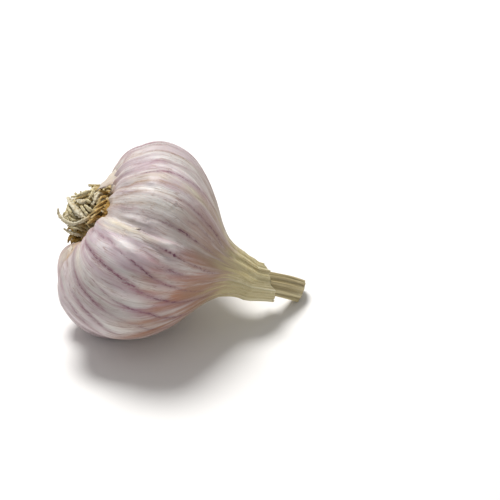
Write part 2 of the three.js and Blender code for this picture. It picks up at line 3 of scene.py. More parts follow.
import bpy
import numpy as np
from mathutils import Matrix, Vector


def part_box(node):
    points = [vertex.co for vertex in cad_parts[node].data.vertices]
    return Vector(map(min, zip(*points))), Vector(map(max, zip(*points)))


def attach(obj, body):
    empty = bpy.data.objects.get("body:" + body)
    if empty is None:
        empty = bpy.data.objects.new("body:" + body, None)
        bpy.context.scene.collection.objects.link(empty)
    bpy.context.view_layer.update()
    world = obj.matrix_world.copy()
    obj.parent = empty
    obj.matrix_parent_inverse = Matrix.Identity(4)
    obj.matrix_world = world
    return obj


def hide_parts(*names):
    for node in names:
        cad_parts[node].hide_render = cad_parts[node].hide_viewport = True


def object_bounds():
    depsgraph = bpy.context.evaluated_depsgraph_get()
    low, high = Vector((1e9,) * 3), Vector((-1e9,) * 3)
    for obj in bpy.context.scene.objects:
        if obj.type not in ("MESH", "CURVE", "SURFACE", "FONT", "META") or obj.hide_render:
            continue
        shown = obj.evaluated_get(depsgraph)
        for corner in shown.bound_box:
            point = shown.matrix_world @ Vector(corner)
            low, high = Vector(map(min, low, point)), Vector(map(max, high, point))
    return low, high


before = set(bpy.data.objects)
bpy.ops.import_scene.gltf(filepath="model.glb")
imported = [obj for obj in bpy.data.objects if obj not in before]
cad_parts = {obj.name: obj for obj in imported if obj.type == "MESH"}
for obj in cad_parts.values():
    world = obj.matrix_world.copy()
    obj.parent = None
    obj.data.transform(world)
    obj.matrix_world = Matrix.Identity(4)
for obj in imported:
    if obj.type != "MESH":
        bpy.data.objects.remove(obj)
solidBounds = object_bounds()
mm = 0.001
degree = math.pi / 180
print("frame loaded")

# A whole garlic bulb lying on its side: root tuft to -X, dried neck to +X.
# A place on the skin is t (0 at the root plate, 1 at the mouth of the neck sheath) and an angle in
# degrees round the bulb's axis, 0 on top and 90 toward the viewer. Lengths are in mm until a mesh is made.

studio = {  # floor, world and one big soft light
    "floorSize": 6000,
    "floorColour": "#f4f3f1",
    "worldColour": "#ffffff",
    "worldStrength": 0.39,
    "keyFrom": (-160, 150, 660),  # the big soft light, from the bulb's middle
    "keySize": 300,
    "keyPower": 5.2,
    "keyColour": "#fffefd",
    "paperFibre": 900.0,
    "paperShades": (0.985, 1.0),
    "paper": {"Roughness": 0.95, "Specular IOR Level": 0.1},
}
rangeSockets = ("Value", "From Min", "From Max", "To Min", "To Max")


def toLinear(hexColour):
    channels = [int(hexColour[i:i + 2], 16) / 255 for i in (1, 3, 5)]
    linear = [c / 12.92 if c <= 0.04045 else ((c + 0.055) / 1.055) ** 2.4 for c in channels]
    return (*linear, 1.0)


def addNode(tree, kind, inputs=None, **settings):
    node = tree.nodes.new("ShaderNode" + kind)
    for name, value in settings.items():
        setattr(node, name, value)
    for name, value in (inputs or {}).items():
        if isinstance(value, bpy.types.NodeSocket):
            tree.links.new(value, node.inputs[name])
        else:
            node.inputs[name].default_value = value
    return node


def newMaterial(name):
    material = bpy.data.materials.new(name)
    material.use_nodes = True
    material.node_tree.nodes.clear()
    return material, material.node_tree


def addStretched(tree, way, layers, radius, values):  # noises drawn out along the piece
    for name, (across, along, detail) in layers.items():
        scales = (radius / across, radius / across, 1 / along)
        stretched = addNode(tree, "VectorMath", {0: way, 1: scales}, operation="MULTIPLY")
        inputs = {"Vector": stretched.outputs[0], "Scale": 1.0, "Detail": detail, "Roughness": 0.6}
        values[name] = addNode(tree, "TexNoise", inputs).outputs[0]


def addSurface(tree, look, values, paints, masks, coats):  # a piece's tables of masks and coats, as nodes
    for name, (source, *ends) in masks.items():
        inputs = dict(zip(rangeSockets, (values[source], *ends)))
        values[name] = addNode(tree, "MapRange", inputs, interpolation_type="SMOOTHSTEP").outputs[0]
    colour = paints[look["ground"]]
    for paint, (first, *others) in coats:
        share = values[first]
        for factor in others:
            share = addNode(tree, "Math", {0: share, 1: values[factor]}, operation="MULTIPLY").outputs[0]
        inputs = {0: share, 6: colour, 7: paints[paint]}  # a mix takes its two colours at 6 and 7
        colour = addNode(tree, "Mix", inputs, data_type="RGBA").outputs[2]
    for source, *ends in look["shades"]:
        shade = addNode(tree, "MapRange", dict(zip(rangeSockets, (values[source], *ends))))
        inputs = {0: 1.0, 6: colour, 7: shade.outputs[0]}
        colour = addNode(tree, "Mix", inputs, data_type="RGBA", blend_type="MULTIPLY").outputs[2]
    height = 0
    for name, deep in look["relief"]:
        inputs = {0: values[name], 1: deep, 2: height}
        height = addNode(tree, "Math", inputs, operation="MULTIPLY_ADD").outputs[0]
    bump = addNode(tree, "Bump", {"Height": height, "Distance": mm, "Strength": 1.0})
    source, *ends = look["gloss"]
    gloss = addNode(tree, "MapRange", dict(zip(rangeSockets, (values[source], *ends))))
    inputs = {"Base Color": colour, "Roughness": gloss.outputs[0], "Normal": bump.outputs[0]}
    surface = addNode(tree, "BsdfPrincipled", {**inputs, **look["surface"]})
    addNode(tree, "OutputMaterial", {"Surface": surface.outputs[0]})


def meshPiece(name, points, faces, material, attributes=None):
    mesh = bpy.data.meshes.new(name)
    mesh.from_pydata((np.asarray(points) * mm).tolist(), [], faces)
    mesh.validate()
    for key, values in (attributes or {}).items():
        kind = "FLOAT_VECTOR" if np.ndim(values) == 2 else "FLOAT"
        layer = mesh.attributes.new(key, kind, "POINT")
        field = "vector" if kind == "FLOAT_VECTOR" else "value"
        layer.data.foreach_set(field, np.asarray(values, np.float32).ravel())
    mesh.materials.append(material)
    mesh.polygons.foreach_set("use_smooth", [True] * len(mesh.polygons))
    piece = bpy.data.objects.new(name, mesh)
    bpy.context.scene.collection.objects.link(piece)
    return piece


def makeStudio():
    scene = bpy.context.scene
    scene.view_settings.view_transform = "Standard"
    world = bpy.data.worlds.new("studio")
    world.use_nodes = True
    background = world.node_tree.nodes["Background"]
    background.inputs["Color"].default_value = toLinear(studio["worldColour"])
    background.inputs["Strength"].default_value = studio["worldStrength"]
    scene.world = world

    paper, tree = newMaterial("studioPaper")  # matt white paper sweep: plain, no gloss
    fibre = addNode(tree, "TexNoise", {"Scale": studio["paperFibre"], "Detail": 2.0})
    darkest, lightest = studio["paperShades"]
    shade = addNode(tree, "MapRange", {"Value": fibre.outputs[0], "To Min": darkest, "To Max": lightest})
    inputs = {0: 1.0, 6: toLinear(studio["floorColour"]), 7: shade.outputs[0]}
    tint = addNode(tree, "Mix", inputs, data_type="RGBA", blend_type="MULTIPLY")
    surface = addNode(tree, "BsdfPrincipled", {"Base Color": tint.outputs[2], **studio["paper"]})
    addNode(tree, "OutputMaterial", {"Surface": surface.outputs[0]})
    half = studio["floorSize"] / 2
    corners = [(-half, -half, 0), (half, -half, 0), (half, half, 0), (-half, half, 0)]
    floor = meshPiece("floor", corners, [(0, 1, 2, 3)], paper)

    middle = (solidBounds[0] + solidBounds[1]) / 2
    keyData = bpy.data.lights.new("key", "AREA")
    keyData.shape = "DISK"
    keyData.size = studio["keySize"] * mm
    keyData.energy = studio["keyPower"]
    keyData.color = toLinear(studio["keyColour"])[:3]
    key = bpy.data.objects.new("key", keyData)
    key.location = middle + Vector(studio["keyFrom"]) * mm
    key.rotation_euler = (middle - key.location).to_track_quat("-Z", "Y").to_euler()
    scene.collection.objects.link(key)


makeStudio()
print("floor and light made")

headShape = {  # the bulb's own directions and the shape of its head
    "neckDip": 22.5,  # degrees that the axis falls from the root end to the neck
    "axisHeight": 30.3,
    "outline": [  # along the axis, radius
        (-16.7, 10.3), (-17.9, 11.8), (-19.2, 14.6), (-19.4, 18.8), (-18.2, 23.2), (-15.2, 27.3),
        (-10.2, 30.7), (-4.0, 32.0), (2.0, 31.1), (7.8, 27.6), (14.0, 21.6), (19.8, 15.0),
        (24.2, 10.2), (28.4, 7.3), (33.0, 6.1), (37.0, 5.6),
    ],
    "widest": 32.0,
    "lobes": [  # where each clove's lobe starts, its groove, how far its shoulder is drawn back
        (-8, 1.6, 2.2), (42, 3.6, 0.8), (95, 2.0, -0.8), (142, 3.0, 0.2),
        (179, 3.2, 0.6), (221, 3.4, 1.6), (266, 3.0, 2.6), (311, 3.0, 0.6),
    ],
    "grooveSharpness": 1.5,
    "lean": (3.4, 148),  # by, toward
    "skew": (7, -30),
    "sag": (18, 53, 8.3, 2.6),  # from, to, by, power
    "swing": (34, 53, 14, 1.2),
    "mouth": {"from": 26, "middle": 40, "slant": 4, "slantToward": -40, "ragged": 0.5, "teeth": (5, 11)},
}
alongHead = {  # how strong each is along the head, as (t, share)
    "groove": [(0, 0.1), (0.07, 0.35), (0.2, 0.8), (0.33, 1), (0.47, 0.9), (0.6, 0.62), (0.73, 0.28),
               (0.8, 0.12), (0.87, 0)],
    "lean": [(0, 0), (0.07, 0.15), (0.2, 0.6), (0.33, 1), (0.47, 1), (0.6, 0.9), (0.73, 0.6),
             (0.87, 0.1), (1, 0)],
    "skew": [(0, 0.3), (0.07, 0.8), (0.2, 1), (0.33, 0.8), (0.47, 0.1), (0.6, 0)],
    "pleat": [(0, 0.8), (0.1, 1), (0.2, 0.6), (0.32, 0.2), (0.45, 0)],
    "wrinkle": [(0.6, 0), (0.72, 0.3), (0.84, 1)],
}
axisWay = np.array([math.cos(headShape["neckDip"] * degree), 0, -math.sin(headShape["neckDip"] * degree)])
topWay = np.array([math.sin(headShape["neckDip"] * degree), 0, math.cos(headShape["neckDip"] * degree)])
frontWay = np.array([0.0, -1.0, 0.0])
bulbShift = np.zeros(3)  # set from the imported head's box, once the plain head can be worked out


def shareAt(name, t):
    places, shares = zip(*alongHead[name])
    return np.interp(t, places, shares)


def smoothStep(low, high, x):
    share = np.clip((x - low) / (high - low), 0, 1)
    return share * share * (3 - 2 * share)


def angleBetween(a, b):
    return (a - b + 180) % 360 - 180


def unit(vectors):
    many = vectors.ndim > 1
    return vectors / np.linalg.norm(vectors, axis=-1 if many else None, keepdims=many)


def splineAt(points, t):
    points = np.asarray(points, float)
    last = len(points) - 1
    x = np.clip(t, 0, 1) * last
    i = np.minimum(x.astype(int), last - 1)
    w = (x - i)[..., None]
    before, here = points[np.maximum(i - 1, 0)], points[i]
    after, later = points[i + 1], points[np.minimum(i + 2, last)]
    leaving, arriving = (after - before) / 2, (later - here) / 2
    curve = (2 * here - 2 * after + leaving + arriving) * w ** 3
    return curve + (3 * after - 3 * here - 2 * leaving - arriving) * w ** 2 + leaving * w + here


def splineWay(points, t):
    step = 0.0001
    return unit(splineAt(points, np.minimum(t + step, 1)) - splineAt(points, np.maximum(t - step, 0)))


def bulbPlace(along, up, forward):
    place = np.multiply.outer(along, axisWay) + np.multiply.outer(up, topWay)
    place = place + np.multiply.outer(forward, frontWay) + [0, 0, headShape["axisHeight"]]
    return place + bulbShift


def bentBy(bend, along):
    start, end, by, power = bend
    return by * np.maximum(0, (along - start) / (end - start)) ** power


def lobeAt(angle):
    starts, grooves, drawn = (np.array(values, float) for values in zip(*headShape["lobes"]))
    turned = (angle - starts[0]) % 360 + starts[0]
    index = np.searchsorted(starts, turned, side="right") - 1
    following = (index + 1) % len(starts)
    across = (turned - starts[index]) / ((starts[following] - starts[index]) % 360)
    share = smoothStep(0, 1, across)
    return across, grooves[index] * (1 - share) + grooves[following] * share, drawn[index]


def awayFrom(line, t, angle, radius):  # mm across the skin from a line of (t, angle)
    places, angles, *_ = zip(*line)
    return angleBetween(angle, np.interp(t, places, angles)) * degree * radius


def spanOf(line, fade, t):  # 1 along the line, fading at its ends
    first, last = line[0][0], line[-1][0]
    return smoothStep(first - fade, first + fade, t) - smoothStep(last - fade, last + fade, t)


def spotAt(t, angle, atT, atAngle, spreadT, spreadAngle):  # 1 at a place on the skin, fading round it
    offset = np.hypot((t - atT) / spreadT, angleBetween(angle, atAngle) / spreadAngle)
    return np.exp(-offset * offset)


def nearGroove(across, sharpness):  # 1 in the groove between two lobes
    return ((1 + np.cos(2 * np.pi * across)) / 2) ** sharpness


swellings = [  # broad rises and dips of the skin: t, angle, height, spread in t, spread in degrees
    (0.28, -35, 2.1, 0.15, 36),
    (0.14, -35, 0.5, 0.07, 36),
    (0.76, -35, -1.6, 0.09, 36),
    (0.08, 50, -1.8, 0.1, 18),
    (0.13, 120, 2.4, 0.08, 26),
    (0.45, 154, 0.7, 0.07, 22),
    (0.66, 130, 1.4, 0.08, 28),
    (0.56, 49.2, 0.7, 0.035, 2.8),  # where the raised fold of skin ends
]

skinFolds = [  # height, width on its upper side, on its lower side, fade, line of (t, angle)
    (1.25, 0.45, 2.6, 0.04,
     [(0.2, 49), (0.3, 46), (0.39, 47), (0.44, 48.2), (0.48, 49), (0.53, 49), (0.585, 47)]),
    (-0.7, 1.5, 0.4, 0.05, [(0.3, 44.6), (0.4, 46), (0.45, 47.2), (0.52, 47.6)]),
    (-0.5, 0.6, 0.9, 0.03, [(0.475, 52.2), (0.5, 53), (0.53, 54.2), (0.57, 55.8)]),
    (0.35, 1.2, 0.5, 0.03, [(0.35, 41.6), (0.42, 42.4), (0.48, 42)]),
    (0.4, 0.6, 1.2, 0.06, [(0.4, 56), (0.5, 60), (0.62, 66)]),
    (0.35, 0.5, 1.2, 0.06, [(0.3, 53), (0.4, 57), (0.5, 62)]),
    (0.5, 2.6, 2.6, 0.1, [(0.4, 62), (0.66, 64)]),
    (0.4, 2.4, 1.6, 0.1, [(0.2, 14), (0.5, 18)]),
    (0.2, 0.6, 1.4, 0.08, [(0.25, 24), (0.6, 26)]),
    (0.2, 0.6, 1.2, 0.08, [(0.2, -8), (0.5, -12)]),
    (0.35, 0.5, 1.3, 0.08, [(0.3, 104), (0.6, 116)]),
    (-0.8, 0.5, 1.7, 0.03,
     [(0.1, 100), (0.14, 101.6), (0.16, 104.6), (0.18, 106), (0.2, 108.5), (0.25, 113)]),
    (0.45, 0.9, 0.5, 0.03,
     [(0.11, 98.5), (0.14, 100), (0.16, 103), (0.18, 104.4), (0.2, 107), (0.25, 111.5)]),
    (0.7, 2.2, 2.2, 0.1, [(0.2, 112), (0.55, 118)]),
    (-0.6, 2.4, 2.4, 0.1, [(0.15, 122), (0.6, 128)]),
    (0.7, 2.2, 1.0, 0.1, [(0.18, 238), (0.5, 243)]),
    (0.8, 2.2, 1.2, 0.1, [(0.2, 288), (0.62, 292)]),
    (-0.5, 2.4, 2.4, 0.1, [(0.15, 330), (0.5, 333)]),
]
creases = [  # small sharp wrinkles: from (t, angle), to (t, angle), height, half width
    ((0.285, 4.6), (0.335, -1.2), -0.32, 0.45),
    ((0.29, 6.6), (0.33, 1.2), 0.2, 0.5),
    ((0.33, -2.8), (0.375, -2.0), -0.3, 0.4),
    ((0.325, 16.8), (0.38, 16.6), -0.3, 0.45),
    ((0.508, 30.2), (0.522, 24.6), 0.22, 0.4),
    ((0.512, 32.0), (0.53, 25.0), -0.16, 0.6),
    ((0.582, 21.4), (0.606, 15.4), 0.16, 0.45),
    ((0.39, -5.0), (0.52, -9.6), 0.3, 0.8),
    ((0.36, 62.5), (0.41, 60.0), 0.2, 0.5),
    ((0.44, 41.0), (0.47, 38.5), -0.16, 0.5),
    ((0.78, -6), (0.85, 6), 0.26, 0.5),
    ((0.8, 20), (0.86, 36), 0.24, 0.5),
    ((0.84, 6), (0.89, 24), 0.26, 0.45),
    ((0.88, 28), (0.93, 48), 0.22, 0.5),
    ((0.9, 4), (0.95, 22), 0.22, 0.4),
    ((0.86, 52), (0.93, 66), 0.2, 0.5),
    ((0.92, -24), (0.97, -4), 0.2, 0.4),
    ((0.82, 196), (0.9, 216), 0.24, 0.5),
    ((0.86, 262), (0.92, 286), 0.24, 0.5),
]
creaseRule = {  # faint seeded wrinkles all round
    "count": 46,
    "seed": 77,
    "t": (0.22, 0.66),
    "length": (2.5, 7),
    "slant": 0.35,
    "usualRadius": 30,
    "height": 0.14,
    "heights": (0.4, 1),
    "width": 0.45,
    "widths": (0.8, 1.5),
}
pleatRule = {"count": 28, "height": 0.45, "drift": 1.3}  # run together at the root plate
wrinkleRule = {"count": 16, "height": 0.24, "drift": 1.1, "twist": 4}  # on the neck
# Each noise says how many cells go round the bulb, and how many mm one is along it.
skinSway = {"degrees": 2.2, "cells": 13, "spacing": 17, "seed": 21}
fineRelief = [
    {"height": 0.18, "cells": 11, "spacing": 15, "seed": 3},  # slack dents in the loose skin
    {"height": 0.11, "cells": 38, "spacing": 22, "seed": 4},  # ribs over the veins, 5 mm apart at the widest
    {"height": 0.06, "cells": 86, "spacing": 14, "seed": 5},  # veins, 2.3 mm apart at the widest
]
fineCalm = {"radius": 14, "least": 0.35}  # lower relief where the bulb is narrower than this
rootPuckers = {"height": 0.35, "crest": 0.4, "cells": 46, "spacing": 9, "seed": 6}  # sharp, at the root plate
neckPleats = {"height": 0.4, "crest": 0.35, "cells": 28, "spacing": 16, "seed": 9, "from": 0.62, "to": 0.86}
neckCrumple = {
    "height": 0.24,
    "crest": 0.4,
    "cells": 9,
    "spacing": 3.4,
    "seed": 7,
    "from": 0.74,
    "to": 0.9,
    "slant": 0.05,  # mm along for each degree round
}


def cellNoise(rule, angle, arc):  # smooth seeded noise, seamless round the bulb
    cells = rule["cells"]
    table = np.random.default_rng(rule["seed"]).uniform(-1, 1, (cells, 96))
    x = (angle % 360) / 360 * cells
    y = arc / rule["spacing"] + 4  # 4 rows spare, for places before the root plate
    column, row = np.floor(x).astype(int), np.floor(y).astype(int)
    across, down = smoothStep(0, 1, x - column), smoothStep(0, 1, y - row)
    left, right = column % cells, (column + 1) % cells
    upper = table[left, row] * (1 - across) + table[right, row] * across
    lower = table[left, row + 1] * (1 - across) + table[right, row + 1] * across
    return upper * (1 - down) + lower * down


def addSeededCreases():
    rule = creaseRule
    random = np.random.default_rng(rule["seed"])
    for index in range(rule["count"]):
        t = random.uniform(*rule["t"])
        angle = 360 * (index + random.uniform(0, 0.9)) / rule["count"]
        long = random.uniform(*rule["length"]) / arcLengths[-1]
        aside = random.uniform(-1, 1) * rule["slant"] * long * arcLengths[-1] / rule["usualRadius"] / degree
        height = rule["height"] * random.choice([-1, 1]) * random.uniform(*rule["heights"])
        width = rule["width"] * random.uniform(*rule["widths"])
        creases.append(((t, angle), (t + long, angle + aside), height, width))


def creaseRelief(angle, arc):
    relief = np.zeros_like(arc)
    for start, end, height, width in creases:
        radius = splineAt(headShape["outline"], np.array(start[0]))[1]
        scale = np.array([radius * degree, 1.0])
        run = np.array([angleBetween(end[1], start[1]), arcAt(end[0]) - arcAt(start[0])]) * scale
        across, along = angleBetween(angle, start[1]) * scale[0], arc - arcAt(start[0])
        share = (across * run[0] + along * run[1]) / (run @ run)
        near = np.clip(share, 0, 1)
        away = np.hypot(across - near * run[0], along - near * run[1]) / width
        relief += height * np.exp(-away * away) * np.sin(np.pi * np.clip(share, 0.08, 0.92))
    return relief


def coarseRelief(t, angle, radius):
    turn = angle * degree
    relief = np.zeros_like(angle)
    for atT, atAngle, height, spreadT, spreadAngle in swellings:
        relief += height * spotAt(t, angle, atT, atAngle, spreadT, spreadAngle)
    for height, widthUpper, widthLower, fade, line in skinFolds:
        away = awayFrom(line, t, angle, radius)
        away = away / np.where(away < 0, widthUpper, widthLower)
        relief += height * spanOf(line, fade, t) * np.exp(-away * away)
    pleat = np.sin(turn * pleatRule["count"] + pleatRule["drift"] * np.sin(turn * 3))
    drifted = turn * wrinkleRule["count"] + wrinkleRule["drift"] * np.sin(turn * 2)
    wrinkle = np.sin(drifted + wrinkleRule["twist"] * t)
    relief += pleatRule["height"] * pleat * shareAt("pleat", t)
    return relief + wrinkleRule["height"] * wrinkle * shareAt("wrinkle", t)


def finerRelief(t, angle, radius, arc):
    swayed = angle + skinSway["degrees"] * cellNoise(skinSway, angle, arc)
    calm = np.clip(radius / fineCalm["radius"], fineCalm["least"], 1)
    relief = np.zeros_like(angle)
    for rule in fineRelief:
        relief += rule["height"] * calm * cellNoise(rule, swayed, arc)
    pucker = rootPuckers["crest"] - np.abs(cellNoise(rootPuckers, swayed, arc))
    relief += rootPuckers["height"] * pucker * shareAt("pleat", t)
    pleat = neckPleats["crest"] - np.abs(cellNoise(neckPleats, swayed, arc))
    relief += neckPleats["height"] * pleat * smoothStep(neckPleats["from"], neckPleats["to"], t)
    relief += creaseRelief(angle, arc)
    slanted = arc + neckCrumple["slant"] * angleBetween(angle, 0)
    crumple = neckCrumple["crest"] - np.abs(cellNoise(neckCrumple, swayed, slanted))
    return relief + neckCrumple["height"] * crumple * smoothStep(neckCrumple["from"], neckCrumple["to"], t)


def mouthAt(angle):
    mouth = headShape["mouth"]
    wide, narrow = mouth["teeth"]
    ragged = np.sin(angle * degree * wide + 0.6) + 0.6 * np.sin(angle * degree * narrow)
    slanted = mouth["slant"] * np.cos((angle - mouth["slantToward"]) * degree)
    return mouth["middle"] - slanted + mouth["ragged"] * ragged


def neckPlace(along, radius, angle):
    up = radius * np.cos(angle * degree) - bentBy(headShape["sag"], along)
    forward = radius * np.sin(angle * degree) - bentBy(headShape["swing"], along)
    return bulbPlace(along, up, forward)


arcTable = np.linspace(0, 1, 2001)
arcPoints = splineAt(headShape["outline"], arcTable)
arcLengths = np.append(0, np.cumsum(np.linalg.norm(np.diff(arcPoints, axis=0), axis=1)))


def arcAt(t):
    return np.interp(t, arcTable, arcLengths)


addSeededCreases()


def skinPlace(t, angle, lift=0.0, fine=True):
    t, angle = np.broadcast_arrays(np.asarray(t, float), np.asarray(angle, float))
    outline = splineAt(headShape["outline"], t)
    way = splineWay(headShape["outline"], t)
    across, groove, drawnBack = lobeAt(angle)
    groove = groove * nearGroove(across, headShape["grooveSharpness"]) * shareAt("groove", t)
    out = lift + coarseRelief(t, angle, outline[..., 1]) - groove
    if fine:
        out = out + finerRelief(t, angle, outline[..., 1], arcAt(t))
    radius = outline[..., 1] + way[..., 0] * out
    skewBy, skewToward = headShape["skew"]
    skewed = math.tan(skewBy * degree) * radius * np.cos((angle - skewToward) * degree)
    shoulder = drawnBack * np.sin(np.pi * across) ** 2
    along = outline[..., 0] - way[..., 1] * out + (skewed + shoulder) * shareAt("skew", t)
    stretchFrom, sheathEnd = headShape["mouth"]["from"], headShape["outline"][-1][0]
    stretch = (mouthAt(angle) - stretchFrom) / (sheathEnd - stretchFrom)
    along = np.where(along > stretchFrom, stretchFrom + (along - stretchFrom) * stretch, along)
    leanBy, leanToward = headShape["lean"]
    leaning = leanBy * shareAt("lean", t)
    up = radius * np.cos(angle * degree) + leaning * math.cos(leanToward * degree)
    forward = radius * np.sin(angle * degree) + leaning * math.sin(leanToward * degree)
    up = up - bentBy(headShape["sag"], along)
    return bulbPlace(along, up, forward - bentBy(headShape["swing"], along))


def setShift():  # the plain head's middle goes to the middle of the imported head's box
    low, high = (np.array(corner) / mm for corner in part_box("bulb_head"))
    t, angle = np.meshgrid(np.linspace(0, 1, 301), np.arange(0, 360, 1.0), indexing="ij")
    plain = skinPlace(t, angle, fine=False).reshape(-1, 3)
    middle = (plain.min(0) + plain.max(0)) / 2
    return np.array([*((low + high) / 2 - middle)[:2], 0.0])


bulbShift = setShift()
print("bulb shift", bulbShift.round(3))

cameraView = {  # degrees and mm
    "azimuth": 6.0,  # degrees round from the front
    "elevation": 35.0,
    "lens": 100.0,
    "sensor": 36.0,
    "distance": 430.5,
    "sees": (0.01, 20),  # m, nearest and farthest
    "aim": (30.2, 3.0, 25.3),  # beside the neck, in the bulb's own place
}


def makeCamera():
    azimuth = cameraView["azimuth"] * degree
    elevation = cameraView["elevation"] * degree
    aim = Vector(bulbShift + cameraView["aim"]) * mm
    back = Vector((
        math.sin(azimuth) * math.cos(elevation),
        -math.cos(azimuth) * math.cos(elevation),
        math.sin(elevation),
    ))
    lensData = bpy.data.cameras.new("camera")
    lensData.lens = cameraView["lens"]
    lensData.sensor_width = cameraView["sensor"]
    lensData.clip_start, lensData.clip_end = cameraView["sees"]
    camera = bpy.data.objects.new("camera", lensData)
    camera.location = aim + back * cameraView["distance"] * mm
    camera.rotation_euler = (-back).to_track_quat("-Z", "Y").to_euler()
    bpy.context.scene.collection.objects.link(camera)
    bpy.context.scene.camera = camera


makeCamera()
print("camera made")

